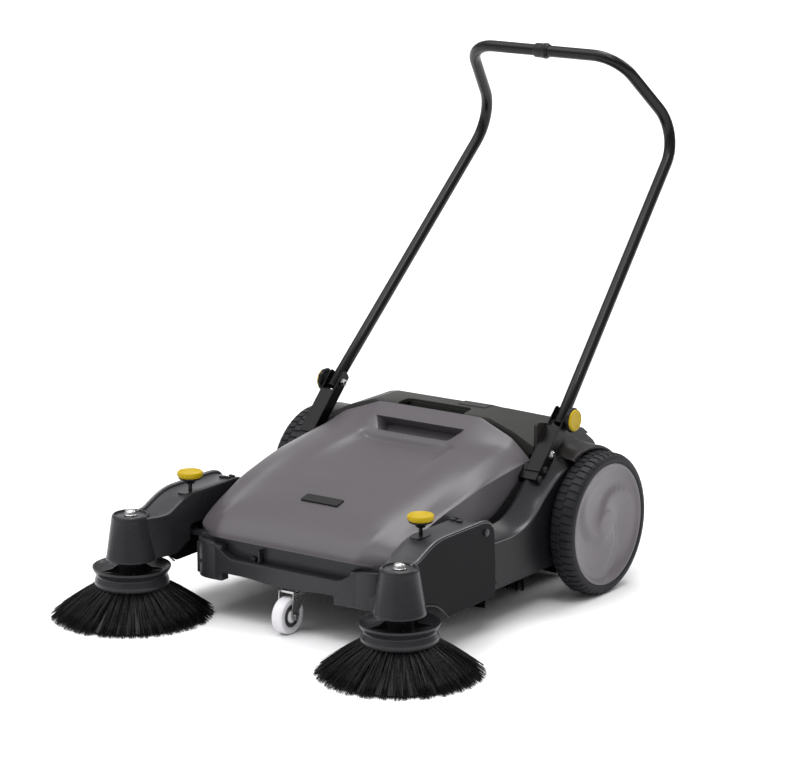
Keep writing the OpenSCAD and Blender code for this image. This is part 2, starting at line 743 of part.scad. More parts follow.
module drive_belts() {
    color("#26401f") place() both_sides() translate([wheel_belt_x, 0, 0])
        flat_belt(0, axle_z, wheel_pulley_r, pivot_y, pivot_z, cross_in_r);
}

// The double pulley on the arm's pivot pin passes the drive from the first belt to the second.
arm_belt_x = 316;
module cross_pulley(side) {
    a = wheel_belt_x;
    b = arm_belt_x;
    first_rim = groove(a, cross_in_r + belt_d / 2 + 1, cross_in_r - belt_d / 2 - 0.1);
    second_rim = groove(b, cross_out_r + belt_d / 2 + 1, cross_out_r - belt_d / 2 - 0.1);
    color("#c9c4b4") place() on_side(side) translate([0, pivot_y, pivot_z]) turned_x(concat(
        [[a - 6, pin_r + run_gap]], first_rim, [[a + 6, 9], [b - 6, 9]], second_rim,
        [[b + 6, pin_r + run_gap]]
    ));
}
module cross_pulley_left() { cross_pulley(1); }
module cross_pulley_right() { cross_pulley(-1); }

module arm_pivot_pins() {
    color("silver") place() both_sides() translate([0, pivot_y, pivot_z]) {
        rod_x(frame_x - 4, arm_out_x - 2, pin_r);
        rod_x(frame_x - 8, frame_x - 0.1, 10);
    }
}

// ---------- side brush arms ----------

arm_out_x = 345;
arm_in_x = 272;
arm_rear_y = -358;
wall = 3;

// Side view of the arm's housing: low at the boss, humped over the knob, straight to the rear.
module arm_side(grow) {
    offset(delta = -grow) polygon([
        [brush_y + 8, boss_bottom_z], [brush_y + 8, boss_top_z], [-645, boss_top_z],
        [-622, boss_top_z + 1],
        [-596, 226], [-570, 238], [-540, 243], [-398, 243], [-376, 234], [arm_rear_y - 4, 216],
        [arm_rear_y, 150], [arm_rear_y, 78], [-524, 77], [-540, 96], [-562, 112], [-590, 120]
    ]);
}

module arm_housing(side) {
    color("#2a2a2d") place() on_side(side) difference() {
        union() {
            difference() {
                union() {
                    slab(arm_in_x, arm_out_x) arm_side(0);
                    translate([brush_x, brush_y, boss_bottom_z])
                        cylinder(h = boss_top_z - boss_bottom_z, r1 = 52, r2 = 40);
                }
                // hollow for the belt and the pulleys
                slab(arm_in_x + wall, arm_out_x - wall) arm_side(wall);
                box([arm_in_x + wall, -523, 60], [arm_out_x - wall, arm_rear_y - wall, 82]);
                box([arm_in_x + wall, brush_y, boss_bottom_z - 1],
                    [arm_out_x - wall, -592, boss_bottom_z + 5]);
                translate([brush_x, brush_y, boss_bottom_z - 0.1])
                    cylinder(h = boss_top_z - boss_bottom_z - 4, r1 = 48.5, r2 = 37);
            }
            translate([0, pivot_y, pivot_z]) rod_x(arm_out_x - 11, arm_out_x - 1, 12);
            translate([0, pivot_y, 218]) rod_x(arm_out_x - 1, arm_out_x + 4, 11);
        }
        // the inner wall stops short ahead of the pivot, so that dirt can't collect
        box([arm_in_x - 1, -600, 60], [arm_in_x + wall + 1, -425, 140]);
        box([arm_in_x - 1, -556, 130], [arm_in_x + wall + 1, -514, 174]);
        // first belt comes in at the rear
        box([wheel_belt_x - 7, arm_rear_y - 10, 120], [wheel_belt_x + 7, arm_rear_y + 5, 186]);
        translate([0, pivot_y, pivot_z]) rod_x(arm_in_x - 1, arm_out_x - 1.5, pin_r + run_gap);
        translate([brush_x, brush_y, 150]) cylinder(h = 100, r = spindle_r + 0.02);
        // slot that lets the arm tip around the upright spindle
        translate([knob_x, knob_y, 200]) cylinder(h = 80, r = 5);
        translate([knob_x, knob_y - 6, 200]) cylinder(h = 80, r = 5);
        box([knob_x - 5, knob_y - 6, 200], [knob_x + 5, knob_y, 280]);
    }
}
module arm_housing_left() { arm_housing(1); }
module arm_housing_right() { arm_housing(-1); }

// Quarter turn belt inside the arm: upright on the cross shaft, flat on the brush spindle.
module arm_belt(side) {
    color("#26401f") place() on_side(side) {
        for (s = [1, -1]) {
            p = [arm_belt_x, pivot_y, pivot_z + s * cross_out_r];
            q = [brush_x + s * brush_pulley_r, brush_y, brush_pulley_z];
            u = (q - p) / norm(q - p);
            aim(p - u * lap, u, [1, 0, 0]) cylinder(h = norm(q - p) + 2 * lap, r = belt_d / 2 - 0.04);
        }
        translate([arm_belt_x, pivot_y, pivot_z]) rotate([90, 0, 90]) rotate(-90)
            rotate_extrude(angle = 180) translate([cross_out_r, 0]) circle(r = belt_d / 2);
        translate([brush_x, brush_y, brush_pulley_z]) rotate(180)
            rotate_extrude(angle = 180) translate([brush_pulley_r, 0]) circle(r = belt_d / 2);
    }
}
module arm_belt_left() { arm_belt(1); }
module arm_belt_right() { arm_belt(-1); }

module spindle_bolt(side) {
    color("silver") place() on_side(side) translate([brush_x, brush_y, 0]) {
        translate([0, 0, 86]) cylinder(h = boss_top_z - 86, r = spindle_r);
        translate([0, 0, boss_top_z]) cylinder(h = 2.5, r = 18);
        translate([0, 0, boss_top_z + 2.5]) cylinder(h = 8, r = 11.5, $fn = 6);
        translate([0, 0, 85]) cylinder(h = 6.7, r = 12);
    }
}
module spindle_bolt_left() { spindle_bolt(1); }
module spindle_bolt_right() { spindle_bolt(-1); }

// ---------- side brushes ----------

module brush_pulley(side) {
    rim = brush_pulley_r + belt_d / 2 + 0.8;
    floor_r = brush_pulley_r - belt_d / 2 - 0.1;
    z = brush_pulley_z;
    top = boss_top_z - 5;
    color("#1f1f21") place() on_side(side) translate([brush_x, brush_y, 0]) rotate_extrude() polygon([
        [spindle_r + run_gap, 92], [29, 92], [29, 122], [24, 126], [24, z - 12], [rim, z - 8],
        [rim, z - 4.2], [floor_r, z - 2], [floor_r, z + 2], [rim, z + 4.2], [rim, z + 7],
        [8, z + 9], [8, top], [spindle_r + run_gap, top]
    ]);
}
module brush_pulley_left() { brush_pulley(1); }
module brush_pulley_right() { brush_pulley(-1); }

// Dished plate with an upturned rim over a lower ring that holds the bristles.
module brush_plate(side) {
    color("#29292b") place() on_side(side) translate([brush_x, brush_y, 0]) rotate_extrude() polygon([
        [16, 84], [16, 91.9], [50, 91.9], [plate_r - 12, 96], [plate_r - 3, 105], [plate_r, 104],
        [plate_r - 1, 98], [plate_r - 8, 88], [plate_r - 7, 80], [plate_r - 4, 78],
        [plate_r - 4, bristle_top_z], [30, bristle_top_z], [30, 84]
    ]);
}
module brush_plate_left() { brush_plate(1); }
module brush_plate_right() { brush_plate(-1); }

module brush_bristles(side) {
    color("#151517") place() on_side(side) translate([brush_x, brush_y, 0]) rotate_extrude() polygon([
        [plate_r - 20, bristle_top_z - 0.05], [plate_r - 5, bristle_top_z - 0.05], [bristle_r - 2, 6],
        [bristle_r, floor_gap], [bristle_r - 20, floor_gap], [bristle_r - 23, 6]
    ]);
}
module brush_bristles_left() { brush_bristles(1); }
module brush_bristles_right() { brush_bristles(-1); }

// Knob and threaded spindle that set the height of the side brush.
module height_knob(side) {
    color("#e8c72c") place() on_side(side) translate([knob_x, knob_y, 0]) rotate_extrude() polygon([
        [0, 268], [24, 268], [26.5, 272], [26.5, 277], [24, 280.5], [20, 281], [19, 279.5], [0, 279.5]
    ]);
}
module height_knob_left() { height_knob(1); }
module height_knob_right() { height_knob(-1); }

module height_spindle(side) {
    color("#222224") place() on_side(side) translate([knob_x, knob_y, 0]) {
        rotate_extrude() polygon([[0, 254], [9, 254], [11, 258], [17, 262], [24, 264], [24, 267.9],
            [0, 267.9]]);
        translate([0, 0, 157]) cylinder(h = 98, r = 4);
        translate([0, 0, 156.1]) cylinder(h = 5, r = 9);
    }
}
module height_spindle_left() { height_spindle(1); }
module height_spindle_right() { height_spindle(-1); }

// ---------- caster ----------

module caster_plate() {
    color("silver") place() difference() {
        translate([-30, caster_y - 28, 108.5]) cube([60, 56, 3.4]);
        translate([0, caster_y, 100]) cylinder(h = 20, r = 6 + run_gap);
    }
}

module caster_fork() {
    wheel_y = caster_y - caster_trail;
    color("silver") place() difference() {
        union() {
            translate([0, caster_y, 88]) cylinder(h = 23, r = 6);
            translate([0, caster_y, 91]) cylinder(h = 17, r = 15);
            translate([0, caster_y, 88]) cylinder(h = 3, r = 20);
            box([-19, caster_y - 26, 82], [19, caster_y + 8, 90]);
            for (x = [-19, 16]) {
                slab(x, x + 3) polygon([[caster_y + 10, 88], [caster_y - 28, 88], [wheel_y - 9, 34],
                    [wheel_y, 29], [wheel_y + 9, 34]]);
            }
        }
        translate([0, wheel_y, caster_r]) rod_x(-40, 40, 4 + run_gap);
    }
}

module caster_wheel() {
    color("#d6d6d4") place() translate([0, caster_y - caster_trail, caster_r]) turned_x([
        [-15, 4 + run_gap], [-15, 10], [-11, 14], [-11, 27], [-13, 29], [-13, caster_r - 3],
        [-10, caster_r], [10, caster_r], [13, caster_r - 3], [13, 29], [11, 27], [11, 14], [15, 10],
        [15, 4 + run_gap]
    ]);
}

module caster_axle() {
    color("silver") place() translate([0, caster_y - caster_trail, caster_r]) {
        rod_x(-24, 24, 4);
        for (x = [-24, 19.2]) translate([x, 0, 0]) rotate([0, 90, 0]) cylinder(h = 4.8, r = 7, $fn = 6);
    }
}

// ---------- fasteners and container ----------

module chassis_screws() {
    color("silver") place() both_sides() for (y = cover_screws_y)
        translate([0, y, cover_screws_z]) {
            rod_x(cover_out_x, cover_out_x + 2.5, 6);
            rod_x(cover_out_x - 20, cover_out_x + 0.5, 1.5);
        }
}

container_half = 247;
container_top_half = 258;
module container_profile(grow) {
    offset(delta = -grow) polygon(concat(
        [[container_front_y, 362], [-15, 366], [66, 338], [156, 276], [216, 196], [224, 100], [204, 66],
            [66, 66], [66, roller_z]],
        [for (a = [10:10:80]) [roller_y + 154 * cos(a), roller_z + 154 * sin(a)]],
        [[container_front_y, roller_z + 154]]
    ));
}

// Half of the container's outline across the machine, from its middle to its foot.
CONTAINER = [[0, 366], [132, 366], [210, 340], [container_top_half, 316], [container_top_half, 302],
    [container_half, 296], [container_half, 40]];
module container_section(grow) {
    offset(delta = -grow) polygon(mirrored(CONTAINER));
}

// Waste container behind the roller, with a mouth low at the front and a grip slot in its top.
module waste_container() {
    color("#4b4b49") place() difference() {
        intersection() {
            slab(-container_top_half, container_top_half) container_profile(0);
            bulkhead(-200, 300) container_section(0);
        }
        intersection() {
            slab(-container_top_half, container_top_half) container_profile(shell);
            bulkhead(-200, 300) container_section(shell);
        }
        // mouth that faces the roller
        box([-container_half + 14, 50, 78], [container_half - 14, 76, 150]);
        // grip slot in the top
        box([-84, container_front_y - 1, 350], [84, -52, 380]);
    }
}

// ---------- drawing ----------

chassis_frame();
front_bumper();
roller_tunnel();
dirt_flaps();
side_seals();
side_cover_left();
side_cover_right();
fender_left();
fender_right();
hood();
hood_badge();
handle_brackets();
bracket_bolts();
stub_axles();
roller_bearings();
arm_pivot_pins();
drive_belts();
chassis_screws();
caster_plate();
handle_tube_left();
handle_tube_right();
handle_sleeve();
handle_plugs();
clamp_knob_left();
clamp_cap_left();
clamp_knob_right();
clamp_cap_right();
tyre_left();
hub_left();
drive_ring_left();
tyre_right();
hub_right();
drive_ring_right();
roller_shaft();
roller_core();
roller_bristles();
pinion_left();
pinion_right();
cross_pulley_left();
cross_pulley_right();
arm_housing_left();
arm_belt_left();
spindle_bolt_left();
arm_housing_right();
arm_belt_right();
spindle_bolt_right();
brush_pulley_left();
brush_plate_left();
brush_bristles_left();
brush_pulley_right();
brush_plate_right();
brush_bristles_right();
height_knob_left();
height_spindle_left();
height_knob_right();
height_spindle_right();
caster_fork();
caster_wheel();
caster_axle();
waste_container();
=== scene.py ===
import bpy, bmesh, json, math, random
from mathutils import Vector, Matrix


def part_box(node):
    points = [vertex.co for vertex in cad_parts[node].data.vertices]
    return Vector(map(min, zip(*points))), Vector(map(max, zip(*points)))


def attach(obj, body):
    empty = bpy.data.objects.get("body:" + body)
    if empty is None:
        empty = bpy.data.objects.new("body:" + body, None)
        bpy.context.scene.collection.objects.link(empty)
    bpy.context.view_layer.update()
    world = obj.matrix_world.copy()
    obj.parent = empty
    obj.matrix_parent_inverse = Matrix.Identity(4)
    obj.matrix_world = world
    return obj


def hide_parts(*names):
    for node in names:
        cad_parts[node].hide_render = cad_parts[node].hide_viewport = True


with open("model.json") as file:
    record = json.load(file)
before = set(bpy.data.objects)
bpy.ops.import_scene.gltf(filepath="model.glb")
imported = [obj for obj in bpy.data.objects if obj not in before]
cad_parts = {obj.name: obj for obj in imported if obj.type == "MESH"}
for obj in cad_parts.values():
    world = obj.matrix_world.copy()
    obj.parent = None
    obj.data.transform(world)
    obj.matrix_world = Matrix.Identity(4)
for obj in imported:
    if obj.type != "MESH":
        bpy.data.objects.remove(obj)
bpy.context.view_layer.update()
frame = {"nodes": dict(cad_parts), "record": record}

rng = random.Random(11)

SIDES = (("left", 1), ("right", -1))      # the operator's left is +X

# The CAD is drawn around the point on the floor under the wheel axle. Where that is along Y comes from
# the tyre. AXLE_Z is the axle's height.
tyre_low, tyre_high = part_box("tyre_left")
AXLE_Y = (tyre_low[1] + tyre_high[1]) / 2 * 1000
AXLE_Z = 149


def at(x, y, z):
    """Millimetres around the axle to metres in the row frame."""
    return Vector((x / 1000, (y + AXLE_Y) / 1000, z / 1000))


# ------------------------------------------------------------------ materials


def node_tree(name):
    m = bpy.data.materials.new(name)
    m.use_nodes = True
    nt = m.node_tree
    return m, nt, nt.nodes["Principled BSDF"]


def add(nt, kind, **inputs):
    n = nt.nodes.new(kind)
    for k, v in inputs.items():
        if k in n.inputs:
            n.inputs[k].default_value = v
        else:
            setattr(n, k, v)
    return n


def noise(nt, coords, scale, detail=4.0, rough=0.55, stretch=None):
    src = coords
    if stretch:
        mp = add(nt, "ShaderNodeMapping")
        mp.inputs["Scale"].default_value = stretch
        nt.links.new(coords, mp.inputs["Vector"])
        src = mp.outputs["Vector"]
    n = add(nt, "ShaderNodeTexNoise")
    n.inputs["Scale"].default_value = scale
    n.inputs["Detail"].default_value = detail
    n.inputs["Roughness"].default_value = rough
    nt.links.new(src, n.inputs["Vector"])
    return n.outputs["Fac"]


def ranged(nt, fac, lo, hi, a=0.3, b=0.7):
    r = add(nt, "ShaderNodeMapRange")
    r.inputs["From Min"].default_value = a
    r.inputs["From Max"].default_value = b
    r.inputs["To Min"].default_value = lo
    r.inputs["To Max"].default_value = hi
    nt.links.new(fac, r.inputs["Value"])
    return r.outputs["Result"]


def tinted(nt, fac, dark, light):
    r = add(nt, "ShaderNodeValToRGB")
    r.color_ramp.elements[0].position = 0.3
    r.color_ramp.elements[1].position = 0.7
    r.color_ramp.elements[0].color = (*dark, 1)
    r.color_ramp.elements[1].color = (*light, 1)
    nt.links.new(fac, r.inputs["Fac"])
    return r.outputs["Color"]


def moulded(name, rgb, rough=0.45, grain=900.0, bump=0.12, spread=0.06, mottling=9.0, dist=0.0004,
            metallic=0.0, stretch=None, coat=0.0, shine=0.5):
    """A solid colour that varies a little, with a fine grain in its roughness and its surface."""
    m, nt, bsdf = node_tree(name)
    tc = add(nt, "ShaderNodeTexCoord").outputs["Object"]
    broad = noise(nt, tc, mottling, 3.0)
    fine = noise(nt, tc, grain, 2.0, 0.6, stretch)
    dark = [c * (1 - spread) for c in rgb]
    light = [min(1, c * (1 + spread)) for c in rgb]
    nt.links.new(tinted(nt, broad, dark, light), bsdf.inputs["Base Color"])
    nt.links.new(ranged(nt, fine, max(0.03, rough - 0.07), min(1, rough + 0.07)), bsdf.inputs["Roughness"])
    b = add(nt, "ShaderNodeBump")
    b.inputs["Strength"].default_value = bump
    b.inputs["Distance"].default_value = dist
    nt.links.new(fine, b.inputs["Height"])
    nt.links.new(b.outputs["Normal"], bsdf.inputs["Normal"])
    bsdf.inputs["Metallic"].default_value = metallic
    bsdf.inputs["Specular IOR Level"].default_value = shine
    if coat:
        bsdf.inputs["Coat Weight"].default_value = coat
        bsdf.inputs["Coat Roughness"].default_value = 0.10
    return m


# One look per material slot: colour, roughness, grain, bump, spread of the colour, the rest by name. Some
# looks are lighter and darker copies of the black plastic, with painted light and painted shade in their
# colour.
LOOKS = {
    "hood_plastic": ((0.080, 0.0725, 0.079), 0.32, 1300, 0.05, 0.03, {"shine": 0.26}),
    "hub_plastic": ((0.140, 0.128, 0.136), 0.34, 1300, 0.05, 0.04, {"mottling": 14, "shine": 0.35}),
    "container_plastic": ((0.028, 0.028, 0.0265), 0.46, 1000, 0.10, 0.07, {"shine": 0.2}),
    # frame_plastic is lighter than black_plastic: painted light on the bumper's front faces
    "frame_plastic": ((0.026, 0.026, 0.029), 0.36, 1000, 0.10, 0.10, {"shine": 0.25}),
    "black_plastic": ((0.0085, 0.0085, 0.0100), 0.33, 1100, 0.08, 0.12, {"shine": 0.17}),
    # arm_plastic: a darker copy of the black plastic, painted shade on the arm's outer wall and its pin boss
    "arm_plastic": ((0.0020, 0.0020, 0.0032), 0.36, 1100, 0.06, 0.12, {"shine": 0.06}),
    # a lighter copy of the black plastic: painted light on faces turned to the front and up
    "black_plastic_painted_lit": ((0.019, 0.019, 0.0215), 0.28, 1100, 0.06, 0.10, {"shine": 0.3}),
    # a much lighter, shinier copy of the black plastic: a painted highlight along the arm's outboard bead
    "black_plastic_painted_rim_highlight": ((0.060, 0.060, 0.064), 0.28, 1100, 0.05, 0.08, {"shine": 0.5}),
    # a lighter copy of the black plastic for the arm's top and the boss's top ring: painted light on faces
    # that turn up
    "black_plastic_painted_top_light": ((0.034, 0.033, 0.037), 0.33, 1100, 0.06, 0.10, {"shine": 0.3}),
    "dark_steel": ((0.016, 0.016, 0.017), 0.32, 300, 0.06, 0.15, {"mottling": 60, "shine": 0.3}),
    "fender_plastic": ((0.020, 0.0180, 0.017), 0.38, 1000, 0.08, 0.12, {"shine": 0.2}),
    "seal_rubber": ((0.006, 0.006, 0.007), 0.70, 700, 0.20, 0.15, {"shine": 0.1}),
    "badge_plastic": ((0.008, 0.008, 0.009), 0.34, 1000, 0.06, 0.08, {"shine": 0.2}),
    "handle_paint": ((0.0030, 0.0030, 0.0034), 0.27, 500, 0.02, 0.20,
                     {"mottling": 20, "coat": 0.05, "shine": 0.25}),
    "bracket_paint": ((0.0035, 0.0035, 0.0040), 0.30, 500, 0.05, 0.20, {"mottling": 20, "shine": 0.15}),
    "sleeve_plastic": ((0.010, 0.010, 0.010), 0.38, 900, 0.08, 0.10, {"shine": 0.25}),
    "zinc_steel": ((0.50, 0.50, 0.50), 0.24, 260, 0.06, 0.10, {"mottling": 60, "metallic": 1.0}),
    "shaft_steel": ((0.50, 0.50, 0.50), 0.30, 300, 0.15, 0.10,
                    {"mottling": 40, "metallic": 1.0, "stretch": (40, 1, 1)}),
    "drive_nylon": ((0.45, 0.42, 0.36), 0.45, 900, 0.12, 0.06, {}),
    "belt_rubber": ((0.012, 0.035, 0.014), 0.55, 700, 0.15, 0.12, {"shine": 0.3}),
    "yellow_plastic": ((0.44, 0.305, 0.0015), 0.38, 900, 0.05, 0.06, {"shine": 0.2}),
    "tyre_rubber": ((0.015, 0.015, 0.018), 0.50, 650, 0.22, 0.20,
                    {"mottling": 24, "dist": 0.0006, "shine": 0.16}),
    "bristle_nylon": ((0.0022, 0.0022, 0.0026), 0.28, 500, 0.05, 0.35, {"mottling": 60, "shine": 0.2}),
    "caster_plastic": ((0.74, 0.72, 0.75), 0.40, 800, 0.08, 0.05, {}),
    "caster_ring": ((0.022, 0.022, 0.024), 0.5, 800, 0.15, 0.1, {}),
}
MAT = {slot: moulded(slot + "_look", *values, **more) for slot, (*values, more) in LOOKS.items()}

# ------------------------------------------------------------------ mesh tools


def linked(name, bm):
    """Turns a bmesh into an object of the scene."""
    me = bpy.data.meshes.new(name)
    bm.to_mesh(me)
    bm.free()
    ob = bpy.data.objects.new(name, me)
    bpy.context.scene.collection.objects.link(ob)
    return ob


def finish_mesh(name, bm, body, slot, replaced=(), smooth=35.0, bevel=None):
    """A piece that rides on body and stands for the CAD nodes in replaced.

    Edges sharper than smooth degrees stay sharp. With a bevel, in millimetres, they are rounded instead.
    """
    bmesh.ops.recalc_face_normals(bm, faces=bm.faces)
    for f in bm.faces:
        f.smooth = True
    if smooth and not bevel:
        limit = math.radians(smooth)
        for e in bm.edges:
            if len(e.link_faces) != 2 or e.calc_face_angle(0) > limit:
                e.smooth = False
    ob = linked(name, bm)
    ob.data.materials.append(MAT[slot])
    if bevel:
        edge = ob.modifiers.new("edge", "BEVEL")
        edge.width = bevel / 1000
        edge.segments = 3
        edge.limit_method = "ANGLE"
        edge.angle_limit = math.radians(34)
        edge.harden_normals = True
    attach(ob, body)
    if replaced:
        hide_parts(*replaced)
    return ob


def grid(bm, rows, closed_u=False, closed_v=False):
    """Quads between rows of points. Returns the vertices, row by row."""
    vs = [[bm.verts.new(p) for p in row] for row in rows]
    nr, nc = len(vs), len(vs[0])
    for i in range(nr if closed_v else nr - 1):
        for j in range(nc if closed_u else nc - 1):
            a, b = vs[i][j], vs[i][(j + 1) % nc]
            c, d = vs[(i + 1) % nr][(j + 1) % nc], vs[(i + 1) % nr][j]
            if len({a, b, c, d}) == 4:
                bm.faces.new((a, b, c, d))
    return vs


def turned(bm, profile, origin, axis="Z", n=64, flip=1, ring=False):
    """Turns (along, radius) points, in millimetres, around an axis. The profile of a ring is a loop."""
    rows = []
    for along, r in profile:
        row = []
        for k in range(n):
            a = 2 * math.pi * k / n
            c, s = r * math.cos(a), r * math.sin(a)
            p = (c, s, along) if axis == "Z" else (flip * along, c, s)
            row.append(at(*(o + q for o, q in zip(origin, p))))
        rows.append(row)
    vs = grid(bm, rows, closed_u=True, closed_v=ring)
    if not ring:
        for row, r in ((vs[0], profile[0][1]), (vs[-1], profile[-1][1])):
            if r > 0.2:
                bm.faces.new(row)
            else:
                bmesh.ops.pointmerge(bm, verts=row, merge_co=sum((v.co for v in row), Vector()) / len(row))


def prism(bm, outline, lo, hi, axis="X"):
    """Extrudes an outline along an axis. Outline points are the two other axes, in order."""
    def p(u, v, w):
        return at(*{"X": (w, u, v), "Y": (u, w, v), "Z": (u, v, w)}[axis])
    a = [bm.verts.new(p(u, v, lo)) for u, v in outline]
    b = [bm.verts.new(p(u, v, hi)) for u, v in outline]
    bm.faces.new(a)
    bm.faces.new(list(reversed(b)))
    n = len(a)
    for i in range(n):
        bm.faces.new((a[i], b[i], b[(i + 1) % n], a[(i + 1) % n]))


def rectangle(u0, v0, u1, v1):
    return [(u0, v0), (u1, v0), (u1, v1), (u0, v1)]


def cuboid(bm, lo, hi):
    prism(bm, rectangle(lo[1], lo[2], hi[1], hi[2]), lo[0], hi[0])


def mirrored(half):
    """A profile or outline whose second half mirrors its first."""
    return half + [(-u, v) for u, v in reversed(half)]


def rounded(outline, radius, steps=4):
    """Rounds the corners of an outline; radius may be one number or one per corner."""
    out = []
    n = len(outline)
    for i in range(n):
        r = radius[i] if isinstance(radius, (list, tuple)) else radius
        p0, p1, p2 = (Vector(outline[(i + k) % n]) for k in (-1, 0, 1))
        d0, d2 = (p0 - p1), (p2 - p1)
        if r <= 0 or d0.length < 1e-6 or d2.length < 1e-6:
            out.append(tuple(p1))
            continue
        cut = min(r, d0.length * 0.48, d2.length * 0.48)
        a, b = p1 + d0.normalized() * cut, p1 + d2.normalized() * cut
        for k in range(steps + 1):
            t = k / steps
            q = a * (1 - t) ** 2 + p1 * 2 * t * (1 - t) + b * t ** 2
            out.append(tuple(q))
    return out


def side_of(bm, sign):
    """Mirrors a shape drawn for the left side when it's wanted on the right."""
    for v in bm.verts:
        v.co.x *= sign


def thicken(ob, mm, outward):
    """Gives an open surface a wall behind it. Its outside faces roughly outward."""
    towards = Vector(outward)
    if sum(p.area * p.normal.dot(towards) for p in ob.data.polygons) < 0:
        ob.data.flip_normals()
    wall = ob.modifiers.new("wall", "SOLIDIFY")
    wall.thickness = mm / 1000
    wall.offset = -1


def loose_solid(build, sign):
    """What build draws, as an object of its own, on the side that sign says."""
    bm = bmesh.new()
    build(bm)
    side_of(bm, sign)
    bmesh.ops.recalc_face_normals(bm, faces=bm.faces)
    return linked("carving", bm)


def carved(build, cuts, sign=1):
    """The solid that build draws, after the boolean operations in cuts, as a bmesh."""
    ob = loose_solid(build, sign)
    tools = []
    for operation, tool in cuts:
        cutter = loose_solid(tool, sign)
        cut = ob.modifiers.new("cut", "BOOLEAN")
        cut.operation = operation
        cut.solver = "EXACT"
        cut.object = cutter
        tools.append(cutter)
    done = bpy.data.meshes.new_from_object(ob.evaluated_get(bpy.context.evaluated_depsgraph_get()))
    bm = bmesh.new()
    bm.from_mesh(done)
    for spare in [ob.data, done] + [t.data for t in tools]:
        bpy.data.meshes.remove(spare)
    return bm


def interp(table, y):
    """Values of a table of rows [y, a, b, ...] at y, straight between the rows."""
    if y <= table[0][0]:
        return table[0][1:]
    for p, q in zip(table, table[1:]):
        if y <= q[0]:
            t = (y - p[0]) / (q[0] - p[0])
            return [a + (b - a) * t for a, b in zip(p[1:], q[1:])]
    return table[-1][1:]


def ring_points(p, along, side, radius, n):
    """A circle around p, square to along, and the direction in which it starts."""
    side = (side - along * side.dot(along)).normalized()
    up = along.cross(side)
    turns = [2 * math.pi * k / n for k in range(n)]
    return [at(*(p + (side * math.cos(a) + up * math.sin(a)) * radius)) for a in turns], side


def tube(bm, points, radii, n=24):
    """A round tube with closed ends along points, in millimetres."""
    side = (points[1] - points[0]).normalized().orthogonal().normalized()
    rows = []
    for i, p in enumerate(points):
        along = (points[min(i + 1, len(points) - 1)] - points[max(i - 1, 0)]).normalized()
        row, side = ring_points(p, along, side, radii[i], n)
        rows.append(row)
    vs = grid(bm, rows, closed_u=True)
    bm.faces.new(vs[0])
    bm.faces.new(vs[-1])


def closed_tube(bm, points, radius, n=12):
    """A round tube along a closed loop of points."""
    side = Vector((1, 0, 0))
    rows = []
    for i, p in enumerate(points):
        along = (points[(i + 1) % len(points)] - points[i - 1]).normalized()
        row, side = ring_points(p, along, side, radius, n)
        rows.append(row)
    grid(bm, rows, closed_u=True, closed_v=True)


# ------------------------------------------------------------------ hood
# One half of the hood, row by row from the front lip to the rear arch: nine points of (x, y, z).


def hood_row(y, zs, xs, ys=None):
    ys = ys or [0] * 9
    return [(x, y + dy, z) for x, dy, z in zip(xs, ys, zs)]


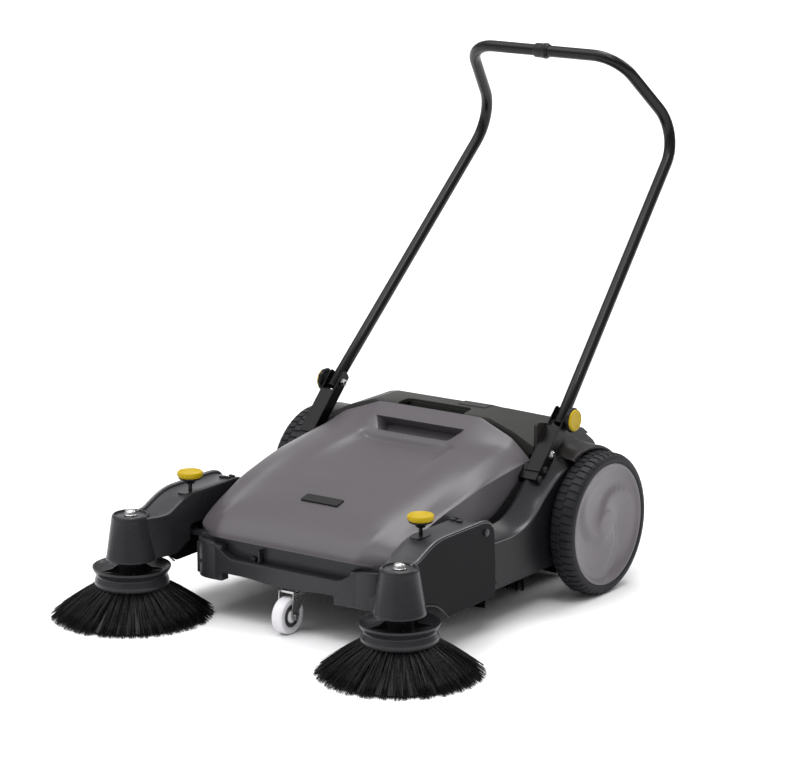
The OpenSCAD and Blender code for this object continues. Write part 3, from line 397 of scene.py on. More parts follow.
NOSE_DY = [0, 0, 0, 0, 1, 17, 30, 41, 43]
REAR_XS = [0, 50, 100, 119, 168, 219, 243, 262, 260]
HOOD = [
    hood_row(-597, [173, 173, 173, 173, 173, 167, 163, 178, 172],
             [0, 50, 100, 140, 172, 200, 219, 240, 238], NOSE_DY),
    hood_row(-596.5, [178, 178, 178, 178, 178, 176, 174, 181, 173],
             [0, 50, 100, 140, 172, 203, 224, 242, 240], NOSE_DY),
    hood_row(-593, [185, 185, 185, 185, 185, 182, 180, 184.5, 174],
             [0, 50, 100, 140, 174, 205, 227, 244, 242], [0, 0, 0, 0, 2, 18, 31, 42, 44]),
    hood_row(-580, [198, 198, 198, 198, 198, 194, 191, 190, 175],
             [0, 50, 100, 142, 178, 207, 229, 245, 243], [0, 0, 0, 0, 2, 16, 28, 36, 38]),
    hood_row(-556, [214.5, 214.5, 214.5, 214.5, 214, 206, 200, 197.5, 176],
             [0, 50, 100, 145, 184, 210, 231, 246, 244], [0, 0, 0, 0, 1, 10, 18, 24, 25]),
    hood_row(-500, [239, 238.8, 238.3, 237.5, 232, 220, 217, 213.5, 180],
             [0, 50, 100, 148, 184, 214, 232, 248, 246]),
    hood_row(-450, [252, 251.8, 251.5, 251, 246.5, 237, 234, 231, 183],
             [0, 50, 100, 150, 184, 214, 234, 252, 250]),
    hood_row(-410, [262, 261.9, 261.7, 262, 259, 250.5, 248.5, 246, 185],
             [0, 50, 100, 151, 184, 214, 236, 256, 254]),
    hood_row(-375, [269.5, 269.5, 269.8, 271, 269, 260, 257, 254, 187],
             [0, 50, 100, 150, 184, 215, 237, 258, 256]),
    hood_row(-335, [276.5, 276.6, 277.4, 281.5, 280, 271.5, 267, 263, 190],
             [0, 50, 100, 146, 181, 215, 238, 260, 258]),
    hood_row(-290, [285.2, 285.4, 286.6, 294, 293.5, 286.5, 280, 273, 194],
             [0, 50, 100, 140, 178, 216, 240, 262, 260]),
    hood_row(-245, [293.5, 293.7, 295.3, 304.5, 304.5, 298, 289.5, 278.8, 200],
             [0, 50, 100, 131, 174, 217, 241, 262, 260]),
    hood_row(-205, [299, 299.2, 301, 311.5, 312.5, 306, 296, 283, 222],
             [0, 50, 100, 123, 170, 218, 242, 262, 260]),
    hood_row(-181, [300.5, 300.6, 302.5, 314.2, 315.5, 309.5, 298.8, 285.2, 238], REAR_XS),
    hood_row(-176, [301.5, 301.6, 303.6, 315.2, 316.6, 310.2, 299.3, 285.6, 242], REAR_XS),
    hood_row(-170, [310.5, 310.5, 310.8, 317, 317.6, 310.9, 299.9, 286.1, 245], REAR_XS),
    hood_row(-158, [316.5, 316.5, 317, 321.5, 320, 312.2, 301, 287, 252],
             [0, 44, 86, 120, 169, 219, 243, 262, 260]),
    hood_row(-143, [327.5, 327.5, 328, 330, 324, 314.5, 302.5, 288.4, 261],
             [0, 49, 99, 124, 170.5, 219, 243, 262, 260]),
    hood_row(-129, [339, 339, 339, 338.5, 328.5, 317, 304.2, 289.4, 268],
             [0, 54, 112, 128, 172, 218, 242, 262, 260], [0, 0, 0, 0, -1, -2, -3, -4, -4]),
    hood_row(-112, [349, 349, 348.6, 347.5, 336, 322.5, 307, 290.4, 276],
             [0, 50, 106, 131, 172, 216, 241, 262, 260], [0, 0, 0, 0, -1, -4, -6, -7, -7]),
    hood_row(-97, [358, 358, 357.8, 357, 343.5, 328.5, 310, 291, 280],
             [0, 50, 100, 130, 169, 213, 240, 262, 260], [0, 0, 0, 0, -3, -8, -12, -14, -14]),
    hood_row(-92.5, [360, 360, 360, 359.5, 346, 330, 311, 291.3, 281],
             [0, 50, 100, 129, 166, 211, 240, 262, 260], [0, 0, 0, 0, -4, -9, -14, -17, -17]),
]
POCKET_ROWS = (16, 17, 18)       # rows whose middle columns are the mouth of the finger pocket


def around(rows):
    """The outermost points of a grid, once around."""
    return (rows[0] + [row[-1] for row in rows[1:-1]] + rows[-1][::-1]
            + [row[0] for row in rows[-2:0:-1]])


def push_pocket(bm, vs, mid, crease, corner):
    """The finger pocket: a floor behind and below the mouth's faces, which it replaces, and walls around."""
    mouth = [vs[i + 1][mid - 2:mid + 3] for i in POCKET_ROWS]
    floor = [[bm.verts.new(v.co + Vector((-0.10 * v.co.x, 0.022, -0.022))) for v in row] for row in mouth]
    opened = []
    for i in range(len(mouth) - 1):
        for j in range(len(mouth[0]) - 1):
            square = ((i, j), (i, j + 1), (i + 1, j + 1), (i + 1, j))
            opened.append(bm.faces.get([mouth[p][q] for p, q in square]))
            for e in bm.faces.new([floor[p][q] for p, q in square]).edges:
                e[crease] = 0.7
    bmesh.ops.delete(bm, geom=opened, context="FACES")
    rim, foot = around(mouth), around(floor)
    for i in range(len(rim)):
        bm.faces.new((rim[i - 1], rim[i], foot[i], foot[i - 1]))
        bm.edges.get((rim[i - 1], rim[i]))[crease] = 1.0
    for row in (mouth[0], mouth[-1]):
        row[0][corner] = row[-1][corner] = 1.0


def crease_hood(bm, vs, mid, crease):
    """Keeps the lip, the rear edge, the step below the pocket and the ridges along the sides crisp."""
    last = len(vs) - 2
    for j in range(len(vs[0]) - 1):
        for i, w in ((1, 0.8), (last, 0.9), (0, 1.0), (last + 1, 1.0)):
            bm.edges.get((vs[i][j], vs[i][j + 1]))[crease] = w
    for i in (POCKET_ROWS[0] - 1, POCKET_ROWS[0]):
        for j in range(mid - 2, mid + 2):
            bm.edges.get((vs[i][j], vs[i][j + 1]))[crease] = 0.8
    for i in range(len(vs) - 1):
        y = HOOD[min(max(i - 1, 0), len(HOOD) - 1)][0][1]
        rear = min(1, max(0, (y + 420) / 200))
        nose = 0.8 if y < -550 else 0
        for j, w in ((mid + 2, 0.4 * rear), (mid + 3, 0.2 + 0.6 * rear), (mid + 4, nose),
                     (mid + 5, 0.3 + 0.35 * rear), (mid + 7, 0.9), (mid + 8, 1.0)):
            for k in (j, 2 * mid - j):
                bm.edges.get((vs[i][k], vs[i + 1][k]))[crease] = w


def build_hood():
    bm = bmesh.new()
    crease = bm.edges.layers.float.new("crease_edge")
    corner = bm.verts.layers.float.new("crease_vert")
    rows = []
    for r in HOOD:
        full = [(-x, y, z) for x, y, z in reversed(r[1:])] + list(r)
        rows.append([at(*p) for p in full])
    # the lip turns under at the front, and the rear edge turns down
    front = [p + Vector((0, 0.004, 0.001)) for p in rows[0]]
    back = [p + Vector((0, -0.001, -0.007)) for p in rows[-1]]
    vs = grid(bm, [front] + rows + [back])
    mid = len(HOOD[0]) - 1
    push_pocket(bm, vs, mid, crease, corner)
    crease_hood(bm, vs, mid, crease)
    ob = finish_mesh("hood_shell", bm, "chassis", "hood_plastic", ("hood",))
    wall = ob.modifiers.new("wall", "SOLIDIFY")
    wall.thickness = 0.003
    wall.offset = -1
    smooth = ob.modifiers.new("smooth", "SUBSURF")
    smooth.levels = smooth.render_levels = 2


build_hood()

# ------------------------------------------------------------------ wheels

LUGS = 54
TYRE_X = 331                  # inner face of the tyre
# (x from the inner face, radius, depth of the cuts between blocks, row of blocks)
TYRE_PROFILE = [
    (1, 127, 0, 0), (0, 131, 0, 0), (0, 138, 0, 1), (2.5, 143.4, 1.6, 1), (6, 146, 2.6, 1),
    (11, 148.2, 2.9, 1), (24.6, 149, 2.9, 1), (25.4, 147.6, 1.5, 1), (28.6, 147.6, 1.5, 0),
    (29.4, 149, 2.9, 0), (43, 148.2, 2.9, 0), (48, 146, 2.6, 0), (51.5, 143, 1.8, 0),
    (53.2, 140.4, 0.6, 0), (54, 138, 0, 0), (54, 132.4, 0, 0), (53, 131, 0, 0), (53, 129.4, 0, 0),
    (51.6, 127.8, 0, 0), (50, 127, 0, 0)]
# [radius, x] of the hub's face: the middle boss, a dish, a rounded step and the rim
HUB_FACE = [[0, 381], [24, 380.4], [33, 376.5], [50, 373.5], [80, 373.2], [106, 375.2], [116, 378.2],
            [121.5, 382.6], [124, 383.8], [127, 383.2]]
HUB_RADII = [0, 6, 12, 18, 24, 28, 33, 40, 50, 60, 70, 80, 90, 98, 106, 112, 116, 119, 121.5, 123.5,
             125.5, 127]
HUB_BACK = [(381, 127.2), (333, 127.2), (333, 119), (365, 118.5), (368, 112), (368, 60), (366, 24),
            (300, 21), (279, 20.5), (279, 10.6)]


def build_tyre(side, sign):
    """A tyre with two rows of blocks, half a pitch apart, and a zigzag groove between them."""
    bm = bmesh.new()
    rows = []
    for x, r, depth, block_row in TYRE_PROFILE:
        row = []
        for k in range(LUGS):
            for f, top in ((0.0, False), (0.07, True), (0.78, True), (0.85, False)):
                a = 2 * math.pi * (k + f + 0.5 * block_row + 0.006 * x) / LUGS
                rr = r - (0 if top else depth)
                row.append(at(sign * (TYRE_X + x), rr * math.cos(a), AXLE_Z + rr * math.sin(a)))
        rows.append(row)
    grid(bm, rows, closed_u=True, closed_v=True)
    finish_mesh("tyre_tread_" + side, bm, "wheel_" + side, "tyre_rubber", ("tyre_" + side,), smooth=28)


def hub_face_x(r, a):
    """The hub's face at radius r and angle a, with three dents that wind outwards."""
    swirl = (a / (2 * math.pi) * 3 + 0.85 * (r - 30) / 90) % 1.0
    lobe = swirl / 0.86 if swirl < 0.86 else (1 - swirl) / 0.14
    window = max(0.0, min(1.0, (r - 26) / 22)) * max(0.0, min(1.0, (117 - r) / 20))
    return interp(HUB_FACE, r)[0] + 6.4 * (lobe - 0.45) * window


def build_hub(side, sign):
    bm = bmesh.new()
    turns = [2 * math.pi * k / 180 for k in range(180)]

    def circle(r, x_at):
        return [at(sign * x_at(a), r * math.cos(a), AXLE_Z + r * math.sin(a)) for a in turns]

    rows = [circle(r, lambda a: hub_face_x(r, sign * a)) for r in HUB_RADII]
    rows += [circle(r, lambda a: x) for x, r in HUB_BACK]
    vs = grid(bm, rows, closed_u=True)
    bmesh.ops.pointmerge(bm, verts=vs[0], merge_co=sum((v.co for v in vs[0]), Vector()) / len(vs[0]))
    finish_mesh("hub_dish_" + side, bm, "wheel_" + side, "hub_plastic", ("hub_" + side,), smooth=42)


for side, sign in SIDES:
    build_tyre(side, sign)
    build_hub(side, sign)

# ------------------------------------------------------------------ side brushes

BRUSH = (334, -671)           # the brush's axis
THIRD_TURN = 2.0944           # radians
ROOT_Z = 66                   # where the bristles leave the plate
DISH = [(84, 16), (91.9, 16), (91.9, 48), (93, 58), (96.5, 67), (102, 74.5), (104.6, 77.2), (105.4, 78.6),
        (105, 79.8), (103, 80), (100, 79), (95, 76), (90.5, 72.6), (88, 72), (86.5, 72.2), (84.6, 73.4),
        (82.6, 74), (80, 74.6), (78.4, 75.6), (76, 76), (67.5, 76), (66.3, 75.2), (66, 74), (66, 50),
        (68, 32), (80, 30), (84, 28)]


def strand(bm, pts, w0, w1, spin=0.0):
    """A thin three-sided bristle along pts, in millimetres."""
    rings = []
    n = len(pts)
    for i, p in enumerate(pts):
        a = Vector(pts[max(i - 1, 0)])
        b = Vector(pts[min(i + 1, n - 1)])
        t = (b - a).normalized()
        u = t.cross(Vector((0, 0, 1)))
        u = u.normalized() if u.length > 1e-4 else Vector((1, 0, 0))
        v = t.cross(u)
        w = (w0 + (w1 - w0) * i / (n - 1)) / 2
        turns = [spin + k * THIRD_TURN for k in range(3)]
        corners = [Vector(p) + (u * math.cos(c) + v * math.sin(c)) * w for c in turns]
        rings.append([bm.verts.new(at(*corner)) for corner in corners])
    for r0, r1 in zip(rings, rings[1:]):
        for k in range(3):
            bm.faces.new((r0[k], r0[(k + 1) % 3], r1[(k + 1) % 3], r1[k]))
    bm.faces.new(rings[-1])


def build_bristles(side, cx, cy):
    """Three rings of tufts, one inside the other, that spread towards the floor."""
    bm = bmesh.new()
    tufts = 44
    for r0, r1, off, strands in ((74, 166, 0.0, 17), (70, 158, 0.5, 11), (64, 147, 0.25, 11)):
        for k in range(tufts):
            a0 = 2 * math.pi * (k + off) / tufts
            lean = rng.uniform(-0.035, 0.035)
            for _ in range(strands):
                a = a0 + rng.gauss(0, 0.018)
                spread = rng.gauss(0, 0.030) + lean
                top = r0 + rng.uniform(-3, 2)
                end = r1 + rng.uniform(-9, 2.2)
                low = rng.uniform(0.7, 3.5) + (3 if rng.random() < 0.15 else 0)
                pts = []
                for t in (0.0, 0.35, 0.7, 1.0):
                    r = top + (end - top) * (t ** 0.93)
                    z = ROOT_Z - (ROOT_Z - low) * (t ** 1.06)
                    aa = a + spread * t
                    pts.append((cx + r * math.cos(aa), cy + r * math.sin(aa), z))
                strand(bm, pts, rng.uniform(1.5, 2.1), rng.uniform(0.9, 1.3), rng.uniform(0, 2))
    finish_mesh("bristles_" + side, bm, "brush_" + side, "bristle_nylon", ("brush_bristles_" + side,),
                smooth=0)


def build_bristle_root(side, cx, cy):
    """The dense root of the bristles, seen between the strands."""
    bm = bmesh.new()
    n = 88
    rows = []
    for r, z in ((58, 66), (71, 66), (72.5, 62), (103, 42), (139, 16), (151, 5.5), (143, 3), (110, 28),
                 (58, 60)):
        row = []
        for k in range(n):
            a = 2 * math.pi * k / n
            rr = r + (1.6 if k % 2 else -1.6) * (r > 80)
            row.append(at(cx + rr * math.cos(a), cy + rr * math.sin(a), z))
        rows.append(row)
    grid(bm, rows, closed_u=True, closed_v=True)
    finish_mesh("bristle_root_" + side, bm, "brush_" + side, "bristle_nylon", smooth=60)


def build_dish(side, cx, cy):
    """The plate that carries the bristles, and the four stiffening webs under it. The plate is the lighter
    copy of the black plastic: painted light.
    """
    bm = bmesh.new()
    turned(bm, DISH, (cx, cy, 0), "Z", 96, ring=True)
    finish_mesh("brush_dish_" + side, bm, "brush_" + side, "black_plastic_painted_lit", ("brush_plate_" + side,),
                smooth=50)
    bm = bmesh.new()
    web = [(28, 91), (64, 94.5), (40, 100), (28, 108)]
    for k in range(4):
        a = math.radians(45 + 90 * k)
        u, v = Vector((math.cos(a), math.sin(a), 0)), Vector((-math.sin(a), math.cos(a), 0))
        lo = [bm.verts.new(at(*(Vector((cx, cy, z)) + u * r - v * 1.5))) for r, z in web]
        hi = [bm.verts.new(at(*(Vector((cx, cy, z)) + u * r + v * 1.5))) for r, z in web]
        bm.faces.new(lo)
        bm.faces.new(list(reversed(hi)))
        for i in range(4):
            bm.faces.new((lo[i], hi[i], hi[(i + 1) % 4], lo[(i + 1) % 4]))
    finish_mesh("brush_webs_" + side, bm, "brush_" + side, "black_plastic", bevel=0.5)


for side, sign in SIDES:
    for build in (build_bristles, build_bristle_root, build_dish):
        build(side, sign * BRUSH[0], BRUSH[1])

# ------------------------------------------------------------------ covers over the side plates
# Stations of a side cover from front to rear: [y, ridge z, outer edge z]

COVER = [[-356, 196, 180], [-318, 197, 178], [-270, 199.5, 177], [-236, 206, 181], [-205, 222, 191],
         [-178, 242, 207], [-152, 264, 228], [-126, 283, 246], [-100, 298, 262], [-66, 306, 277]]
COVER_IN, COVER_OUT, COVER_LOW = 271, 325, 79


def smooth_rows(table, steps):
    """More rows in between those of a table, on a smooth curve through them."""
    out = []
    for i in range(len(table) - 1):
        p0, p1, p2, p3 = (table[min(max(i + k, 0), len(table) - 1)] for k in (-1, 0, 1, 2))
        for s in range(steps):
            t = s / steps
            out.append([0.5 * (2 * b + (c - a) * t + (2 * a - 5 * b + 4 * c - d) * t ** 2
                               + (3 * b - a - 3 * c + d) * t ** 3) for a, b, c, d in zip(p0, p1, p2, p3)])
    return out + [table[-1]]


def scoop(x_in, x_out, hi, lo, power, steps=8):
    """Points (x, z) of a hollow curve that falls from hi at x_in to lo at x_out."""
    return [(x_in + (x_out - x_in) * k / steps, lo + (hi - lo) * (1 - k / steps) ** power)
            for k in range(steps + 1)]


def build_side_cover(side, sign):
    rows = []
    for y, hi, lo in smooth_rows(COVER, 4):
        section = [(COVER_IN + 0.4, hi - 22), (COVER_IN + 1.4, hi - 12), (COVER_IN + 4, hi - 5),
                   (COVER_IN + 8, hi - 1.4)]
        section += scoop(COVER_IN + 13, COVER_OUT - 6, hi - 0.4, lo, 1.25)
        section += [(COVER_OUT - 3, lo - 0.4), (COVER_OUT - 1, lo - 1.6), (COVER_OUT - 0.2, lo - 3.6),
                    (COVER_OUT, lo - 7), (COVER_OUT, 0.5 * (lo + COVER_LOW)), (COVER_OUT, COVER_LOW + 4),
                    (COVER_OUT - 0.8, COVER_LOW + 1.2), (COVER_OUT - 3, COVER_LOW)]
        rows.append([at(sign * x, y, z) for x, z in section])
    corner = len(rows[0]) - 6          # the section turns down here
    # the upper band is the lighter copy of the black plastic, painted light where the cover turns up; the
    # flank below stays plain black
    bm = bmesh.new()
    grid(bm, [row[:corner + 1] for row in rows])
    ob = finish_mesh("side_cover_band_" + side, bm, "chassis", "black_plastic_painted_lit", ("side_cover_" + side,),
                     smooth=40)
    thicken(ob, 2.6, (0, 0, 1))
    bm = bmesh.new()
    grid(bm, [row[corner:] for row in rows])
    ob = finish_mesh("side_cover_flank_" + side, bm, "chassis", "black_plastic", smooth=40)
    thicken(ob, 2.6, (sign, 0, 0))
    # front flange and two ribs that carry the screws
    bm = bmesh.new()
    cuboid(bm, (257, -357, 86), (322.3, -354.5, 176))
    for y in (-328, -94):
        cuboid(bm, (257, y - 2, 84), (322.3, y + 2, 98))
    # shelf that closes the gap between the hood and the cover
    cuboid(bm, (251, -354, 160), (273, -128, 163))
    side_of(bm, sign)
    finish_mesh("side_cover_ribs_" + side, bm, "chassis", "black_plastic", bevel=0.6)


# Stations of a fender from front to rear: [y, inner z, lip z]. The left one has a tower beside it.
FENDER = {
    "left": [[-62, 307, 290], [-50, 318, 297], [-30, 334, 303], [0, 333, 305.5], [34, 312, 302],
             [66, 286, 291], [94, 254, 273], [118, 222, 250], [136, 186, 225]],
    "right": [[-62, 300, 290], [-50, 305, 297], [-30, 311, 302.5], [0, 312, 305], [34, 303, 301],
              [66, 284, 290.5], [94, 254, 273], [118, 222, 250], [136, 186, 225]],
}
TOWER = {
    "left": [(-98, 294), (-98, 362), (-89, 369), (-32, 355), (49, 312), (94, 272), (112, 250), (136, 200),
             (136, 178), (84, 178), (40, 270)],
    "right": [(-98, 294), (-60, 303), (20, 311), (72, 289), (112, 250), (136, 200), (136, 178),
              (84, 178), (40, 270)],
}


def build_fender(side, sign):
    bm = bmesh.new()
    rows = []
    for y, hi, lip in smooth_rows(FENDER[side], 4):
        section = [(269.5, hi - 8), (269.2, hi - 1)] + scoop(270, 330, hi, lip + 2, 1.45)
        section += [(334, lip + 1.6), (336.8, lip + 0.4), (338, lip - 1.4), (338, lip - 4)]
        rows.append([at(sign * x, y, z) for x, z in section])
    grid(bm, rows)
    ob = finish_mesh("fender_shell_" + side, bm, "chassis", "fender_plastic", ("fender_" + side,),
                     smooth=40)
    thicken(ob, 2.4, (sign, 0, 1))
    bm = bmesh.new()
    prism(bm, rounded(TOWER[side], 9, 4), 262.5, 270.2)
    side_of(bm, sign)
    finish_mesh("fender_tower_" + side, bm, "chassis", "fender_plastic", bevel=1.6)


for side, sign in SIDES:
    build_side_cover(side, sign)
    build_fender(side, sign)

# ------------------------------------------------------------------ waste container

CONTAINER_SIDE = [(-92, 362), (-15, 366), (66, 338), (156, 276), (216, 196), (224, 100), (204, 66),
                  (66, 66), (66, 132), (63, 170), (42, 220), (4, 256), (-40, 277), (-92, 285)]
CONTAINER_FRONT = [(0, 366.5), (132, 366.5), (210, 340), (258, 316), (258, 302), (247, 296), (247, 40)]
CONTAINER_HOLLOW = [(70, 72), (201, 72), (218, 101), (210, 193), (152, 271), (90, 312), (-86, 312),
                    (-86, 291), (-38, 283), (8, 261), (48, 224), (69, 172), (72, 132)]
CONTAINER_CROWN = [(88, 313), (62, 332), (-17, 359), (-86, 355), (-86, 308), (88, 308)]


def build_container():
    front = [(-x, z) for x, z in reversed(CONTAINER_FRONT[1:])] + CONTAINER_FRONT
    slot = rounded(rectangle(-84, -99, 84, -52), [0, 0, 18, 18], 4)
    bm = carved(lambda b: prism(b, rounded(CONTAINER_SIDE, 9, 3), -262, 262), [
        ("INTERSECT", lambda b: prism(b, front, -120, 260, "Y")),
        ("DIFFERENCE", lambda b: prism(b, CONTAINER_HOLLOW, -240, 240)),
        ("DIFFERENCE", lambda b: prism(b, CONTAINER_CROWN, -128, 128)),
        ("DIFFERENCE", lambda b: prism(b, slot, 347, 380, "Z")),
        ("DIFFERENCE", lambda b: cuboid(b, (-233, 50, 78), (233, 76, 150))),
    ])
    finish_mesh("container_body", bm, "container", "container_plastic", ("waste_container",), bevel=1.8)
    # raised panel on the top, the liner of the grip slot, and two stiffening ribs down the back
    bm = bmesh.new()
    prism(bm, [(-40, 363.9), (-15, 365.2), (30, 349.6), (30, 352), (-15, 367.4), (-40, 366.2)], 36, 104)
    cuboid(bm, (-86, -97.5, 338), (86, -53, 340))
    cuboid(bm, (-86, -53, 338), (86, -50.8, 358))
    for x in (-86, 84):
        cuboid(bm, (x, -97.5, 338), (x + 2, -51, 358))
    rib = [(70, 332), (154, 274), (213, 195), (219, 195), (160, 279), (74, 338)]
    for x in (-120, 120):
        prism(bm, rounded(rib, 3, 3), x - 5, x + 5)
    finish_mesh("container_ribs", bm, "container", "container_plastic", bevel=0.9)


build_container()

# ------------------------------------------------------------------ side brush arms

# The arm's outline is drawn from its front end over the ridge to its rear end, and back along the arch
# over the brush.
ARM_RIDGE = [(-622, 214.5), (-596, 226.5), (-570, 237.5), (-540, 243), (-398, 243), (-374, 236),
             (-362, 217)]
RIDGE_RADII = [10, 14, 20, 20, 14, 14]
ARM_ARCH = [(-520, 77), (-534, 88), (-551, 104), (-574, 116), (-600, 121)]
ARM_SIDE = [(-623, 121.6), (-635, 212.6)] + ARM_RIDGE + [(-358, 150), (-358, 80), (-440, 78)] + ARM_ARCH
ARM_RADII = [0, 0] + RIDGE_RADII + [10, 0, 6, 0, 8, 4, 10, 12, 0]
ARM_TOP = [(-668, 212.4), (-645, 212.4)] + ARM_RIDGE + [(-360, 188)]
ARM_INNER_LOW = [[-668, 122], [-600, 124], [-562, 141], [-557.4, 141], [-557, 175], [-513, 175],
                 [-512.6, 141], [-425, 141], [-424.6, 90], [-360, 90]]
ARM_IN, ARM_OUT = 272, 345
PIVOT_Y, PIVOT_Z = -392, 152


def arm_inner_x(y):
    """The arm narrows towards the boss on its inner side."""
    return ARM_IN + 22 * min(1, max(0, (-612 - y) / 59)) ** 1.4


def arm_outer_wall(side, sign):
    """The full outline, standing proud of the top as a thin bright rim. The wall is a darker copy of the
    black plastic: painted shade.
    """
    bm = bmesh.new()
    prism(bm, rounded(ARM_SIDE, ARM_RADII, 5), ARM_OUT - 4.6, ARM_OUT)
    side_of(bm, sign)
    finish_mesh("arm_outer_wall_" + side, bm, "arm_" + side, "arm_plastic", ("arm_housing_" + side,),
                bevel=1.9)


def arm_top(side, sign):
    """One skin, sunk under the rim, that turns down at the rear. It is lighter than the arm's sides: painted
    light on the top.
    """
    across = [(0, -3), (0.02, -0.8), (0.06, 0.2), (0.16, 0.3), (0.34, -1.4), (0.6, -2.4), (0.85, -2.2),
              (1, -0.8)]
    bm = bmesh.new()
    rows = []
    for y, z in rounded(ARM_TOP, [0, 0] + RIDGE_RADII + [10, 0], 5):
        inner = arm_inner_x(y)
        wide = ARM_OUT - 4.2 - inner
        drop = 4.2 if y < -366 else 0
        rows.append([at(sign * (inner + wide * u), y, z - drop + d) for u, d in across])
    grid(bm, rows)
    ob = finish_mesh("arm_top_" + side, bm, "arm_" + side, "black_plastic_painted_top_light", smooth=50)
    thicken(ob, 2.6, (0, 0, 1))


def arm_inner_wall(side, sign):
    """The inner wall, open below and around the spindle, in the lighter copy of the black plastic: painted
    light.
    """
    extra = [-660, -650, -640, -630, -620, -612, -586, -575, -540, -398, -374]
    top = [list(p) for p in ARM_TOP[:-1]]
    bm = bmesh.new()
    rows = []
    for y in sorted([p[0] for p in ARM_INNER_LOW] + extra):
        low = interp(ARM_INNER_LOW, y)[0]
        high = interp(top, y)[0] - 5
        rows.append([at(sign * (arm_inner_x(y) + 0.2), y, low + (high - low) * t) for t in (0, 0.5, 1)])
    grid(bm, rows)
    ob = finish_mesh("arm_inner_wall_" + side, bm, "arm_" + side, "black_plastic_painted_lit", smooth=50)
    thicken(ob, 2.8, (-sign, 0, 0))


def arm_boss(side, sign):
    """The cone over the brush, with a raised lip around its sunk top. The cone is the lighter copy of the
    black plastic, painted light, and its top ring is a painted highlight.
    """
    centre = (sign * BRUSH[0], BRUSH[1], 0)
    bm = bmesh.new()
    turned(bm, [(207, 34), (123, 48.2), (120.4, 49), (120, 50.4), (121, 52), (124.5, 52.2), (127, 50.9),
                (206, 39.2), (210, 38.4), (212.6, 37), (213.8, 35), (213.6, 33.2), (212, 32),
                (209.8, 31.6), (208.6, 31)], centre, "Z", 72, ring=True)
    finish_mesh("arm_boss_" + side, bm, "arm_" + side, "black_plastic_painted_lit", smooth=38)
    # the sunk top's ring, a disc of its own in the lighter top copy of the black plastic: a painted
    # highlight
    bm = bmesh.new()
    turned(bm, [(206, 4.2), (206, 33), (208.4, 32.4), (209.8, 31), (210.2, 29), (210.4, 4.2)],
           centre, "Z", 64, ring=True)
    finish_mesh("arm_boss_top_highlight_" + side, bm, "arm_" + side, "black_plastic_painted_top_light", smooth=38)


def arm_bead(side, sign):
    """The round bead along the outboard top edge, in a much lighter copy of the black plastic: a painted
    highlight.
    """
    edge = rounded(ARM_TOP[1:-1], [0] + RIDGE_RADII + [0], 5)
    bead = [Vector((ARM_OUT - 4.3, y, z - 3.2)) for y, z in edge]
    bm = bmesh.new()
    tube(bm, bead, [3.2] + [4.4] * (len(bead) - 2) + [3.2], 20)
    side_of(bm, sign)
    finish_mesh("arm_bead_" + side, bm, "arm_" + side, "black_plastic_painted_rim_highlight", smooth=50)


def arm_details(side, sign):
    """Platform for the height knob, small clips, the pivot's cap, and a thin guard lip along the arch, in
    the lighter copy of the black plastic: painted light.
    """
    bm = bmesh.new()
    prism(bm, rounded(rectangle(276, -562, 304, -516), 12, 4), 232.6, 238.6, "Z")
    for y in (-418, -404):
        cuboid(bm, (277, y - 4, 238), (289, y + 3, 243.4))
    cuboid(bm, (292, -421, 237.5), (304, -413, 242))
    turned(bm, [(ARM_OUT - 0.5, 8), (ARM_OUT + 2, 8), (ARM_OUT + 3.4, 7), (ARM_OUT + 4, 4.6),
                (ARM_OUT + 4.1, 0.1)], (0, PIVOT_Y, 218), "X", 32)
    arch = [(-664, 120)] + ARM_ARCH[:0:-1] + [(-522, 77)]
    strip = rounded(arch, [0, 10, 14, 12, 8, 0], 4)
    prism(bm, strip + [(y - 1.2, z - 2.4) for y, z in reversed(strip)], ARM_OUT - 3, ARM_OUT + 2.4)
    side_of(bm, sign)
    finish_mesh("arm_details_" + side, bm, "arm_" + side, "black_plastic_painted_lit", bevel=0.7)


def arm_pin_boss(side, sign):
    """The boss around the pivot pin, inside the arm, in the darker copy of the black plastic: painted shade.
    """
    bm = bmesh.new()
    turned(bm, [(ARM_OUT - 11, 12), (ARM_OUT - 3, 12), (ARM_OUT - 3, 6.1), (ARM_OUT - 11, 6.1)],
           (0, PIVOT_Y, PIVOT_Z), "X", 40, ring=True)
    side_of(bm, sign)
    finish_mesh("arm_pin_boss_" + side, bm, "arm_" + side, "arm_plastic", smooth=38)


def build_spindle_bolt(side, sign):
    bm = bmesh.new()
    turned(bm, [(85, 0.1), (85, 11), (86, 12), (90.6, 12), (91.6, 11), (91.6, 4), (210.6, 4), (210.6, 13),
                (211.2, 13.6), (212.4, 13.6), (213.2, 13), (213.4, 12.6), (214.4, 12.2), (217, 11.8),
                (219.6, 10.4), (221.4, 8), (222.4, 4.6), (222.5, 0.1)],
           (sign * BRUSH[0], BRUSH[1], 0), "Z", 40)
    finish_mesh("spindle_bolt_dome_" + side, bm, "arm_" + side, "zinc_steel", ("spindle_bolt_" + side,),
                smooth=30)


KNOB_X, KNOB_Y = 288, -535


def scalloped(bm, profile, origin, axis, lobes, depth, n=96, flip=1):
    """Like turned, with the rim drawn in between lobes. Profile: (along, radius, share of the depth)."""
    rows = []
    for along, r, share in profile:
        row = []
        for k in range(n):
            a = 2 * math.pi * k / n
            rr = r - share * depth * (0.5 - 0.5 * math.cos(lobes * a)) ** 2
            c, s = rr * math.cos(a), rr * math.sin(a)
            p = (c, s, along) if axis == "Z" else (flip * along, c, s)
            row.append(at(*(o + q for o, q in zip(origin, p))))
        rows.append(row)
    vs = grid(bm, rows, closed_u=True)
    for row in (vs[0], vs[-1]):
        bm.faces.new(row)


